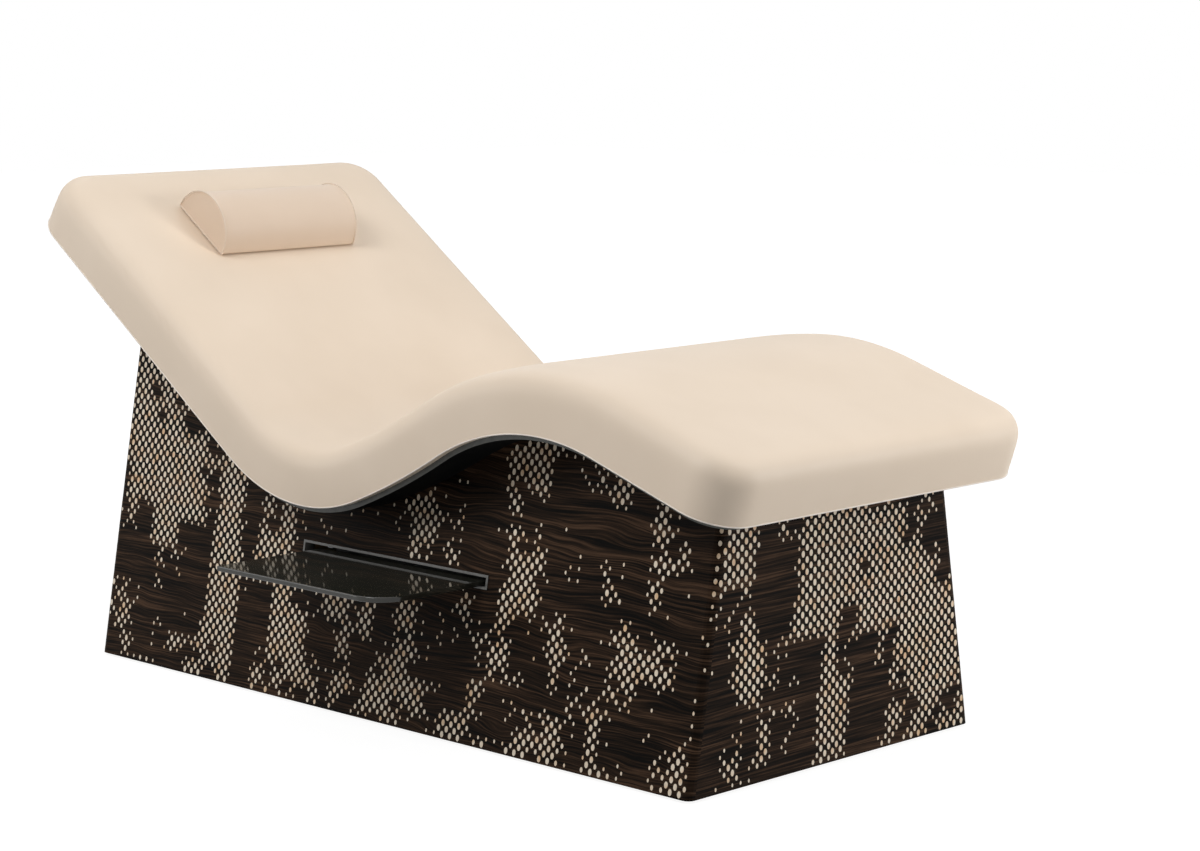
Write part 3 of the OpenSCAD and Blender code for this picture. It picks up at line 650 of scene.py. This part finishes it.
def loop_faces(upper, lower):
    """Faces between two loops of points that run round the plan anticlockwise, the first above the second."""
    count = len(upper)
    return [(upper[k], lower[k], lower[(k + 1) % count], upper[(k + 1) % count]) for k in range(count)]


def at_height(plan, height):
    """Points of a plan, all at one height."""
    return np.column_stack([plan, np.full(len(plan), height)])


def smooth_step(low, high, value):
    """Goes smoothly from 0 at the low value to 1 at the high one."""
    share = np.clip((value - low) / (high - low), 0, 1)
    return share * share * (3 - 2 * share)


def pad_form(plan, profile_down, under, top, edge_radius):
    """A pad laid flat: its gridded top, its sides down a list of heights, and the loops of its underside.

    A loop of the underside is an inset from the outline and a height. Returns the points, the faces and the number
    of the first point of the underside."""
    flat = plan.grid()
    rim, rim_out = plan.rim()
    form = np.vstack([at_height(flat, top)] + [at_height(rim, height) for height in profile_down])
    away, direction = plan.outward(form[:, :2])
    over = np.clip(form[:, 2] - (top - edge_radius), 0, None)
    beyond = np.clip(edge_radius - away, 0, None)
    pull = edge_radius / np.maximum(np.hypot(over, beyond), edge_radius)
    form[:, :2] -= direction * (beyond * (1 - pull))[:, None]
    form[:, 2] -= over * (1 - pull)
    first_under = len(form)
    form = np.vstack([form] + [at_height(rim - rim_out * inset, height) for inset, height in under])
    faces = plan.grid_faces()
    upper = plan.border()
    for first in range(len(flat), len(form), len(rim)):
        lower = list(range(first, first + len(rim)))
        faces += loop_faces(upper, lower)
        upper = lower
    return form, faces + plan.strip_faces(upper[0]), first_under


def crease_loops(piece, loops):
    """Keeps the edges of these loops of points sharp when the piece is divided."""
    wanted = {frozenset((loop[k], loop[(k + 1) % len(loop)])) for loop in loops for k in range(len(loop))}
    layer = piece.data.attributes.new("crease_edge", "FLOAT", "EDGE")
    for edge in piece.data.edges:
        layer.data[edge.index].value = 1.0 if frozenset(edge.vertices) in wanted else 0.0


def make_mattress():
    """The upholstered mattress: inflated flat, then laid along the curve, with its hem turned under the deck."""
    sizes = settings().mattress
    path = WavedPath(settings().curve)
    start_in = sizes.swell * MATTRESS_START
    plan = RoundedPlan(start_in, path.length - start_in, sizes.width - 2 * start_in,
                       sizes.corner_radius - start_in, sizes.cell)
    top = sizes.thickness - start_in
    heights = np.linspace(top, sizes.cell * LAST_CELL, round(top / sizes.cell))[1:]
    draw = sizes.side_draw - start_in
    cover = sizes.cover_thickness
    hem_in, deck_in = draw + sizes.hem_width, draw + cover
    seam = -sizes.soft_gap / 3
    # Round the lower edge, in under the deck to the end of the hem, back over the hem and up the deck's side
    under = [
        (draw, cover * 0.4),
        (draw + cover * 0.35, -cover * 0.7),
        (deck_in, -cover),
        (hem_in, -cover),
        (hem_in, seam),
        (deck_in, seam),
        (deck_in, sizes.deck_thickness + sizes.soft_gap),
    ]
    points, faces, first_under = pad_form(plan, heights, under, top, sizes.edge_radius - start_in)
    inset = draw * (1 - smooth_step(0, sizes.draw_height, points[:first_under, 2]))
    inside, out = plan.outward(points[:first_under, :2])
    points[:first_under, :2] -= out * inset[:, None]
    points[:first_under, 2] *= 1 + sizes.crown / top * smooth_step(0, sizes.corner_radius, inside)
    colour = settings().colours.cover
    piece = new_piece("mattress", points, faces, coated_upholstery("coated_upholstery", colour))
    count = len(plan.border())
    loops = [list(range(first, first + count)) for first in range(first_under, len(points), count)]
    # All loops but the three that round the lower edge stay sharp
    crease_loops(piece, loops[3:])
    inflate(piece, range(first_under - count, len(points)), sizes.pressure, sizes.swell)
    divide(piece)
    set_coordinates(piece.data, path.place(coordinates(piece.data)))
    shade(piece, 55)
    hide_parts("mattress_cover", "mattress_foam")
    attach(piece, "base")
    # The hem's bead takes the cover's colour mixed with white: a painted highlight along the lower edge
    make_hem(plan, path, draw, mixed(colour, 0.45, WHITE))


def make_hem(plan, path, inset, colour):
    """The stitched bead along the mattress's lower edge, a little sunk into it; its paler tone is a painted highlight
    along that edge.
    """
    sizes = settings().mattress
    bead = sizes.hem_bead / 2
    rim, out = plan.rim()
    line = at_height(rim - out * (inset + bead * HEM_SUNK), bead - sizes.cover_thickness)
    # The paler tone paints the highlight that the lower edge catches
    pale = coated_upholstery("coated_upholstery_hem", colour)
    hem = tube("mattress_hem", path.place(line), bead, 8, pale)
    shade(hem)
    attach(hem, "base")


def waved_board(name, inset, low, high, edge, faces_over_and_under):
    """A board that follows the curve under the mattress, an inset from its outline and between two heights."""
    sizes = settings().mattress
    path = WavedPath(settings().curve)
    plan = RoundedPlan(inset, path.length - inset, sizes.width - 2 * inset, sizes.corner_radius - inset, sizes.cell)
    rim = plan.rim()[0]
    points = np.vstack([at_height(rim, height) for height in (high, low)])
    upper, lower = list(range(len(rim))), list(range(len(rim), 2 * len(rim)))
    over = [tuple(reversed(face)) for face in plan.strip_faces(0)]
    under = plan.strip_faces(len(rim))
    sides = loop_faces(upper, lower)
    piece = new_piece(name, path.place(points), sides + over + under, edge, faces_over_and_under)
    for face in piece.data.polygons[len(sides):]:
        face.material_index = 1
    shade(piece)
    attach(piece, "base")
    return piece


def make_boards():
    """The mattress's own deck, and the base's waved plate that shows its edge under the hem."""
    sizes = settings().mattress
    colours = settings().colours
    # The near-black film on the boards' faces is partly painted shade under the mattress
    film_and_painted_shade = film_faced_plywood("film_faced_plywood", colours.film_and_painted_shade)
    deck_inset = sizes.side_draw + sizes.cover_thickness + sizes.soft_gap
    deck = waved_board("deck_board", deck_inset, 0, sizes.deck_thickness, film_and_painted_shade, film_and_painted_shade)
    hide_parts("deck")
    plate_inset = sizes.side_draw + sizes.hem_width + sizes.soft_gap
    edge = sprayed_coat("satin_lacquer", colours.plate, 0.42)
    plate = waved_board("waved_plate", plate_inset, -sizes.plate_thickness, -sizes.soft_gap / 3, edge, film_and_painted_shade)
    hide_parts("carrier_plate")


def circle(count):
    """Cosines and sines of that many places round a circle."""
    return [(math.cos(2 * math.pi * k / count), math.sin(2 * math.pi * k / count)) for k in range(count)]


def half_circle(steps):
    """Cosines and sines of the ends of that many steps over half a circle."""
    return circle(2 * steps)[:steps + 1]


def tube(name, path, radius, sides, material):
    """A round tube along a list of points that runs back to its start."""
    count = len(path)
    path = [Vector(p) for p in path]
    points = []
    side = Vector((0, 1, 0))
    for k, here in enumerate(path):
        ahead = (path[(k + 1) % count] - path[k - 1]).normalized()
        side = (side - ahead * side.dot(ahead)).normalized()
        other = ahead.cross(side)
        points += [here + radius * (side * c + other * s) for c, s in circle(sides)]
    faces = [(r * sides + s, r * sides + (s + 1) % sides,
              (r + 1) % count * sides + (s + 1) % sides, (r + 1) % count * sides + s)
             for r in range(count) for s in range(sides)]
    return new_piece(name, points, faces, material)


def pillow_form(half_depth, half_length, low, spring, height, cell):
    """A closed half round with flat ends, from its low edge up through where it springs into its arch.

    Returns the points, the faces and the loops of points round its two ends."""
    arcs = round(math.pi * (half_depth + height) / 2 / cell)
    arch = [(half_depth * c, spring + (height - spring) * s) for c, s in half_circle(arcs)]
    section = np.array(arch + [(-half_depth, low), (half_depth, low)])
    middle = np.array((0, (low + height) * 0.45))
    spans = round(2 * half_length / cell)
    inner = [section * share + middle * (1 - share) for share in (0.25, 0.5, 0.75)]
    rows = [(ring, -1) for ring in inner]
    rows += [(section, 2 * k / spans - 1) for k in range(spans + 1)]
    rows += [(ring, 1) for ring in reversed(inner)]
    points = [(x, place * half_length, z) for row, place in rows for x, z in row]
    count, last = len(section), len(rows) - 1
    faces = [(j * count + k, j * count + (k + 1) % count, (j + 1) * count + (k + 1) % count, (j + 1) * count + k)
             for j in range(last) for k in range(count)]
    faces += [tuple(range(count - 1, -1, -1)), tuple(range(last * count, (last + 1) * count))]
    return points, faces, [range(row * count, (row + 1) * count) for row in (len(inner), len(inner) + spans)]


def make_pillow():
    """The neck pillow: a half round with flat ends, piped round, that hides its base panel in its hollow."""
    sizes = settings().pillow
    mattress = settings().mattress
    path = WavedPath(settings().curve)
    colour = settings().colours.pillow
    start_in = sizes.swell * PILLOW_START
    half_depth, half_length = sizes.depth / 2 - start_in, sizes.length / 2 - start_in
    points, faces, ends = pillow_form(half_depth, half_length, sizes.under, sizes.base_top, sizes.height - start_in,
                                      sizes.cell)
    piece = new_piece("pillow", points, faces, coated_upholstery("coated_upholstery_pillow", colour))
    crease_loops(piece, ends)
    # The skirt's points are held, with a tenth of a millimetre for rounding
    bottom = [k for k, point in enumerate(points) if point[2] <= sizes.base_top + 0.1 * MM]
    inflate(piece, bottom, mattress.pressure, sizes.swell)
    divide(piece)
    hollow = new_piece("pillow_hollow", *box_form(half_depth - mattress.cover_thickness,
                                                  half_length - mattress.cover_thickness,
                                                  -sizes.base_top, sizes.base_top))
    cut = piece.modifiers.new("hollow", "BOOLEAN")
    cut.object = hollow
    apply_modifiers(piece)
    bpy.data.objects.remove(hollow)
    origin = path.place([(sizes.from_head, sizes.across, mattress.thickness + mattress.crown + mattress.soft_gap)])[0]
    turn = path.axes(sizes.from_head)
    set_coordinates(piece.data, coordinates(piece.data) @ turn + origin)
    shade(piece)
    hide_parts("pillow_cover", "pillow_foam")
    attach(piece, "pillow")
    # The piping takes the pillow's colour mixed with white: a painted highlight round the pillow's ends
    piping_painted_highlight = coated_upholstery("coated_upholstery_piping", mixed(colour, 0.12, WHITE))
    for name, end in (("pillow_piping_near", -1), ("pillow_piping_far", 1)):
        make_piping(name, end, origin, turn, piping_painted_highlight)


def make_piping(name, end, origin, turn, piping_painted_highlight):
    """The piping round one end of the pillow, sunk into its edge; its paler tone is a painted highlight round the end.
    """
    sizes = settings().pillow
    bead = sizes.piping / 2
    sunk = bead * PIPING_SUNK
    wide, high, across = sizes.depth / 2 - sunk, sizes.height - sizes.base_top - sunk, end * (sizes.length / 2 - sunk)
    line = [(wide * c, across, sizes.base_top + high * s) for c, s in half_circle(ARCH_STEPS)]
    line += [(wide * share, across, sizes.under + bead) for share in (-1, -0.5, 0, 0.5, 1)]
    ring = tube(name, np.array(line) @ turn + origin, bead, 10, piping_painted_highlight)
    shade(ring)
    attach(ring, "pillow")


def box_form(half_x, half_y, low, high):
    """Points and faces of a box."""
    points = [(x, y, z) for z in (low, high) for x, y in ((-half_x, -half_y), (half_x, -half_y), (half_x, half_y),
                                                          (-half_x, half_y))]
    sides = [(k, (k + 1) % 4, 4 + (k + 1) % 4, 4 + k) for k in range(4)]
    return points, sides + [(3, 2, 1, 0), (4, 5, 6, 7)]


# Walls and inlays

# Number of sides of an oval, and of samples along the curve over the walls
OVAL_SIDES, CURVE_SAMPLES = 14, 400
# Height of the first row of ovals over the floor, as a share of half a pitch
FIRST_ROW = 0.8
# How much stronger than the pattern's edge a place is that takes a middle oval wherever it lies
MIDDLE_MARGIN = 0.35
# How much the blocks, the halves, the shapes and the flecks count in the pattern, and what sets their draws apart
BLOCKS, HALVES, SHAPES, FLECKS = 0.55, 0.35, 0.7, 0.6
HALVES_DRAW, SHAPES_DRAW, FLECKS_DRAW = 9, 31, 77
# Angle in degrees over which an edge gets an arris
ARRIS_ANGLE = 35


class Wall:
    """One wall of the base: a flat face that leans or stands upright, and half of the round corner at each end."""

    def __init__(self, name):
        low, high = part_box("veneer_near")
        sizes = settings().base
        self.name = name
        self.floor = low.z
        self.long = high.x
        self.wide = -low.y
        self.lean = sizes.lean
        self.radius = sizes.corner_radius
        self.side = name in ("near", "far")
        self.sign = -1 if name in ("near", "head") else 1

    def half_width(self, z):
        """Half of the base's width at a height."""
        return self.wide - (z - self.floor) * math.tan(self.lean)

    def height_at(self, v):
        """Height of a place at a distance up the wall."""
        return self.floor + v * (math.cos(self.lean) if self.side else 1)

    def flat_half(self, v):
        """Half of the flat face's length at a distance up it."""
        if self.side:
            return self.long - self.radius + 0 * v
        return self.half_width(self.height_at(v)) - self.radius

    def reach(self, v):
        """Distance along the wall, from its middle, to the middle of the round corner."""
        return self.flat_half(v) + self.radius * math.pi / 4

    def point(self, u, v, out):
        """Points of the row for distances along and up the wall and out of it."""
        u, v, out = (np.asarray(a, float) for a in (u, v, out))
        z = self.height_at(v)
        flat = self.flat_half(v)
        turned = np.clip(np.abs(u) - flat, 0, None) / self.radius
        along = np.sign(u) * (np.minimum(np.abs(u), flat) + (self.radius + out) * np.sin(turned))
        away = (self.radius + out) * np.cos(turned) - self.radius
        if self.side:
            y = self.sign * (self.half_width(z) + away * math.cos(self.lean))
            return np.stack([along, y, z + away * math.sin(self.lean)], -1)
        return np.stack([self.sign * (self.long + away), along, z], -1)

    def round_trip(self, u, v):
        """Distance round the base from the middle of the near wall, so that the pattern runs on over the corners."""
        side = self.long - self.radius * (1 - math.pi / 4)
        end = self.reach(v)
        return {"near": u, "foot": side + end + u, "far": 3 * side - u, "head": -side - end - u}[self.name]


def pattern_strength(along, up, pattern):
    """How strongly a place is patterned: upright blocks, cut into by smaller ones and frayed by finer flecks."""
    x, z, layout = along / pattern.block_width, up / pattern.block_height, pattern.layout
    column = math.floor(x + 0.25 * noise.noise(Vector((x, z, layout))))
    shift = 3 * noise.cell(Vector((column, 0.5, layout)))
    block = noise.cell(Vector((column, z + shift, layout)))
    half = noise.cell(Vector((2 * x, 2 * z + shift, layout + HALVES_DRAW)))
    shape = noise.noise(Vector((1.6 * x, 1.6 * z, layout + SHAPES_DRAW)))
    fleck = noise.noise(Vector((5 * x, 4 * up / pattern.block_width, layout + FLECKS_DRAW)))
    return BLOCKS * block + HALVES * half + SHAPES * shape + FLECKS * fleck


def chosen_ovals(wall):
    """The place along and up the wall, the width and the height of each of its ovals."""
    pattern = settings().inlays
    path = WavedPath(settings().curve)
    under = -settings().mattress.plate_thickness
    curve = path.place([(s, 0, under) for s in np.linspace(0, path.length, CURVE_SAMPLES)])
    frame_low, frame_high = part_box("slot_frame")
    sizes = [(pattern.small_width, pattern.small_height), (pattern.middle_width, pattern.middle_height),
             (pattern.large_width, pattern.large_height)]
    columns = 2 * round(wall.reach(0) / pattern.pitch_along)
    pitch = 2 * wall.reach(0) / columns
    rows = int(2 * (curve[:, 2].max() - wall.floor) / pattern.pitch_up)
    places, strengths = {}, {}
    for row in range(-1, rows + 1):
        for column in range(-columns - 1, columns + 2):
            if (row + column) % 2 == 0:
                u, v = column * pitch / 2, (row + FIRST_ROW) * pattern.pitch_up / 2
                places[row, column] = u, v
                strengths[row, column] = pattern_strength(wall.round_trip(u, v), v, pattern)
    # Only the strongest places, as many as the cover asks for, take an oval
    edge = sorted(strengths.values())[int(len(strengths) * (1 - pattern.cover))]
    ovals = []
    for (row, column), strength in strengths.items():
        around = [(row + 1, column + 1), (row + 1, column - 1), (row - 1, column + 1), (row - 1, column - 1)]
        filled = sum(strengths.get(place, edge) > edge for place in around)
        wide, high = sizes[2 if filled == 4 else 1 if filled == 3 or strength > edge + MIDDLE_MARGIN else 0]
        u, v = places[row, column]
        x, _, z = wall.point(u, v, 0)
        clear = high / 2 + pattern.edge_clear
        ceiling = np.interp(x, curve[:, 0], curve[:, 2]) - clear
        # The long walls keep the ovals on the corners, with a hundredth of a pitch for rounding
        corner = wall.reach(v) + (pitch / 100 if wall.side else -(wide + pattern.large_width) / 2 - pattern.edge_clear)
        by_frame = (wall.name == "near" and frame_low.x - clear < x < frame_high.x + clear
                    and frame_low.z - clear < z < frame_high.z + clear)
        if strength >= edge and abs(u) <= corner and z <= ceiling and v >= clear and not by_frame:
            ovals.append((u, v, wide, high))
    return ovals


def make_inlays(wall, material):
    """The pale ovals of one wall, each a thin slip let into the veneer."""
    pattern = settings().inlays
    outs = [pattern.proud] * (OVAL_SIDES + 1) + [-pattern.depth] * OVAL_SIDES
    points, faces = [], []
    for u, v, wide, high in chosen_ovals(wall):
        middle = len(points)
        us = [u] + [u + wide / 2 * c for c, _ in circle(OVAL_SIDES)] * 2
        vs = [v] + [v + high / 2 * s for _, s in circle(OVAL_SIDES)] * 2
        points.extend(wall.point(us, vs, outs))
        for k in range(OVAL_SIDES):
            here, after = middle + 1 + k, middle + 1 + (k + 1) % OVAL_SIDES
            cap, rim = (middle, here, after), (here, here + OVAL_SIDES, after + OVAL_SIDES, after)
            faces += [cap, rim] if wall.name in ("near", "foot") else [cap[::-1], rim[::-1]]
    piece = new_piece("inlays_" + wall.name, points, faces, material)
    shade(piece, 30)
    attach(piece, "base")


def finish_node(name, material, bevel=None, clamped=True):
    """Gives a CAD node its material and, where asked, the small round arris of the real piece, in millimetres.

    A clamped arris shrinks where the node's points lie close together."""
    piece = frame["nodes"][name]
    piece.data.materials.clear()
    piece.data.materials.append(material)
    if bevel is None:
        return
    for face in piece.data.polygons:
        face.use_smooth = True
    weld = piece.modifiers.new("weld", "WELD")
    weld.merge_threshold = 0.01 * MM
    arris = piece.modifiers.new("arris", "BEVEL")
    arris.width = bevel * MM
    arris.segments = 2
    arris.use_clamp_overlap = clamped
    arris.limit_method = "ANGLE"
    arris.angle_limit = math.radians(ARRIS_ANGLE)
    piece.modifiers.new("normals", "WEIGHTED_NORMAL").keep_sharp = True


def finish_walls():
    """The smoked veneer of the four walls."""
    colours = settings().colours
    # The last three numbers are the millimetres between the bends of the grain along X, Y and Z
    along = smoked_veneer("smoked_veneer_sides", colours.veneer_dark, colours.veneer_light, 225, 140, 90)
    across = smoked_veneer("smoked_veneer_ends", colours.veneer_dark, colours.veneer_light, 35, 900, 90)
    for name, material in (("near", along), ("far", along), ("head", across), ("foot", across)):
        finish_node("veneer_" + name, material)
    inlay = pale_inlay("maple_inlay", colours.inlay, colours.inlay_warm)
    for name in ("near", "foot", "far", "head"):
        make_inlays(Wall(name), inlay)


def finish_shelf():
    """The gloss shelf, the coated frame of its slot, its guides, screws, stop bar and buffers."""
    colours = settings().colours
    finish_node("shelf", gloss_lacquer("gloss_lacquer", colours.shelf), 1.8, clamped=False)
    finish_node("slot_frame", sprayed_coat("powder_coat", colours.slot_frame, 0.38), 0.4)
    finish_node("stop_bar", sprayed_coat("powder_coat_black", linear("232325"), 0.45), 0.8)
    guide = bare_metal("extruded_aluminium", "C9CACC", 0.32, (0.6, 90, 0.6))
    for end in ("head", "foot"):
        finish_node("shelf_guide_" + end, guide, 0.2)
    finish_node("guide_screws", bare_metal("zinc_plated_steel", "D2D0C8", 0.28, (1, 1, 1)), 0.4)
    rubber = moulded("moulded_rubber", "161616", 0.75)
    for end in ("front", "rear"):
        finish_node(end + "_buffers", rubber, 0.6)


def finish_carcass():
    """The bare boards, posts, rails, formers, battens and glides inside and under the base."""
    colours = settings().colours
    plywood = sawn_wood("birch_plywood", colours.plywood, 60, 4, 0.12)
    softwood = sawn_wood("planed_softwood", colours.softwood, 6, 6, 0.28)
    nylon = moulded("moulded_nylon", "1B1B1B", 0.5)
    for member in frame["record"]["subparts"]:
        name, slot = member["node"], member["material_slot"]
        if slot == "board":
            finish_node(name, plywood)
        elif slot == "timber":
            finish_node(name, softwood, 1.0)
        elif slot == "glide":
            finish_node(name, nylon, 0.8)


def finish_pillow_parts():
    """The pillow's base panel and the fastening strips under it."""
    colours = settings().colours
    finish_node("pillow_base", coated_upholstery("coated_upholstery_base", colours.pillow), 1.0)
    tape = looped_tape("looped_tape", colours.tape)
    for kind in ("loop", "hook"):
        finish_node(kind + "_strips", tape)


# Studio

# Each lamp's turn from +X and height angle, in degrees, and its width in metres
LAMPS = {"top": (0, 88, 5.0), "left": (-90, 45, 1.8), "side": (-138, 14, 1.2), "head": (150, 45, 1.8),
         "right": (31, 10, 1.2), "foot": (30, 45, 1.8)}
# Width of the camera's sensor, in millimetres
SENSOR_WIDTH = 36


def add_lamp(name, turn, height, width, power):
    """A square soft lamp that faces the lounger, at a turn from +X and a height angle, both in degrees."""
    turn, height = math.radians(turn), math.radians(height)
    light = bpy.data.lights.new(name, "AREA")
    light.size = width
    light.energy = power
    lamp = bpy.data.objects.new(name, light)
    away = Vector((math.cos(height) * math.cos(turn), math.cos(height) * math.sin(turn), math.sin(height)))
    low, high = (Vector(corner) for corner in CAD_BOX)
    lamp.location = (low + high) / 2 + away * settings().studio.lamp_distance
    lamp.rotation_euler = away.to_track_quat("Z", "Y").to_euler()
    bpy.context.scene.collection.objects.link(lamp)


def seen_directly(tree):
    """1 for what the camera, gloss and glass see, and 0 for what only lights the object."""
    rays = add(tree, "ShaderNodeLightPath")
    seen = add(tree, "ShaderNodeMath", {0: rays.outputs["Is Camera Ray"], 1: rays.outputs["Is Glossy Ray"]},
               operation="MAXIMUM")
    return add(tree, "ShaderNodeMath", {0: seen, 1: rays.outputs["Is Transmission Ray"]}, operation="MAXIMUM")


def make_stage():
    """Pale floor, white surround, six soft lamps and the camera."""
    studio = settings().studio
    scene = bpy.context.scene
    half = studio.floor_width / 2
    floor = new_piece("floor", [(-half, -half, 0), (half, -half, 0), (half, half, 0), (-half, half, 0)],
                      [(0, 1, 2, 3)])
    material = bpy.data.materials.new("studio_floor")
    tree = emptied(material)
    matt = add(tree, "ShaderNodeBsdfDiffuse", {"Color": settings().colours.floor})
    place = add(tree, "ShaderNodeNewGeometry")
    away = add(tree, "ShaderNodeVectorMath", {0: place.outputs["Position"]}, operation="LENGTH")
    glow = add(tree, "ShaderNodeMapRange", {"Value": away.outputs["Value"], "From Min": studio.glow_start,
                                            "From Max": studio.glow_end, "To Min": studio.glow_near,
                                            "To Max": studio.glow_far})
    white = add(tree, "ShaderNodeEmission", {"Color": WHITE, "Strength": glow})
    share = add(tree, "ShaderNodeMath", {0: seen_directly(tree), 1: studio.glow_share}, operation="MULTIPLY")
    both = add(tree, "ShaderNodeMixShader", {0: share, 1: matt, 2: white})
    add(tree, "ShaderNodeOutputMaterial", {"Surface": both})
    floor.data.materials.append(material)

    world = bpy.data.worlds.new("studio")
    tree = emptied(world)
    strength = add(tree, "ShaderNodeMapRange", {"Value": seen_directly(tree), "To Min": studio.sky, "To Max": 1.0})
    sky = add(tree, "ShaderNodeBackground", {"Color": WHITE, "Strength": strength})
    add(tree, "ShaderNodeOutputWorld", {"Surface": sky})
    scene.world = world

    for name, (turn, height, width) in LAMPS.items():
        add_lamp("lamp_" + name, turn, height, width, getattr(studio, name + "_power"))

    camera = bpy.data.cameras.new("camera")
    camera.sensor_width = SENSOR_WIDTH
    camera.lens = studio.lens
    eye = bpy.data.objects.new("camera", camera)
    eye.location = (studio.camera_x, studio.camera_y, studio.camera_z)
    eye.rotation_euler = (math.pi / 2 - studio.camera_dip, 0, studio.camera_turn)
    scene.collection.objects.link(eye)
    scene.camera = eye
    scene.view_settings.view_transform = "Standard"


# Operators and panel


class LOUNGER_OT_mattress(Operator):
    """Upholster the waved mattress"""

    bl_idname = "lounger.mattress"
    bl_label = "Mattress"

    def execute(self, context):
        make_mattress()
        return {"FINISHED"}


class LOUNGER_OT_boards(Operator):
    """Make the deck and the waved plate under the mattress"""

    bl_idname = "lounger.boards"
    bl_label = "Deck and Waved Plate"

    def execute(self, context):
        make_boards()
        return {"FINISHED"}


class LOUNGER_OT_pillow(Operator):
    """Make the neck pillow and finish its base panel and strips"""

    bl_idname = "lounger.pillow"
    bl_label = "Pillow"

    def execute(self, context):
        make_pillow()
        finish_pillow_parts()
        return {"FINISHED"}


class LOUNGER_OT_walls(Operator):
    """Veneer the walls and let in the pale ovals"""

    bl_idname = "lounger.walls"
    bl_label = "Walls and Inlays"

    def execute(self, context):
        finish_walls()
        return {"FINISHED"}


class LOUNGER_OT_shelf(Operator):
    """Finish the shelf, its slot and its guides"""

    bl_idname = "lounger.shelf"
    bl_label = "Shelf"

    def execute(self, context):
        finish_shelf()
        return {"FINISHED"}


class LOUNGER_OT_carcass(Operator):
    """Finish the woodwork inside the base and its glides"""

    bl_idname = "lounger.carcass"
    bl_label = "Carcass"

    def execute(self, context):
        finish_carcass()
        return {"FINISHED"}


class LOUNGER_OT_stage(Operator):
    """Set up the floor, the lamps and the camera"""

    bl_idname = "lounger.stage"
    bl_label = "Stage"

    def execute(self, context):
        make_stage()
        return {"FINISHED"}


OPERATORS = (LOUNGER_OT_stage, LOUNGER_OT_mattress, LOUNGER_OT_boards, LOUNGER_OT_pillow, LOUNGER_OT_walls,
             LOUNGER_OT_shelf, LOUNGER_OT_carcass)


class LOUNGER_PT_panel(Panel):
    """Lists the lounger's pieces and settings"""

    bl_idname = "LOUNGER_PT_panel"
    bl_label = "Lounger"
    bl_space_type = "VIEW_3D"
    bl_region_type = "UI"
    bl_category = "Lounger"

    def draw(self, context):
        for operator in OPERATORS:
            self.layout.operator(operator.bl_idname)
        for group in ("curve", "mattress", "pillow", "base", "inlays", "colours", "studio"):
            box = self.layout.box()
            box.label(text=group.capitalize())
            values = getattr(context.scene.lounger, group)
            for name in values.__annotations__:
                box.prop(values, name)


CLASSES = (LoungingCurve, MattressSizes, PillowSizes, BaseSizes, InlayPattern, LoungerColours, StudioSetup,
           LoungerSettings, *OPERATORS, LOUNGER_PT_panel)


def register():
    """Registers the classes and gives the scene its settings."""
    for item in CLASSES:
        bpy.utils.register_class(item)
    bpy.types.Scene.lounger = PointerProperty(type=LoungerSettings)


def unregister():
    """Takes back what register did."""
    del bpy.types.Scene.lounger
    for item in reversed(CLASSES):
        bpy.utils.unregister_class(item)


def main():
    """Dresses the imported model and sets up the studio."""
    register()
    bpy.ops.lounger.stage()
    bpy.ops.lounger.mattress()
    bpy.ops.lounger.boards()
    bpy.ops.lounger.pillow()
    bpy.ops.lounger.walls()
    bpy.ops.lounger.shelf()
    bpy.ops.lounger.carcass()


if __name__ == "__main__":
    main()
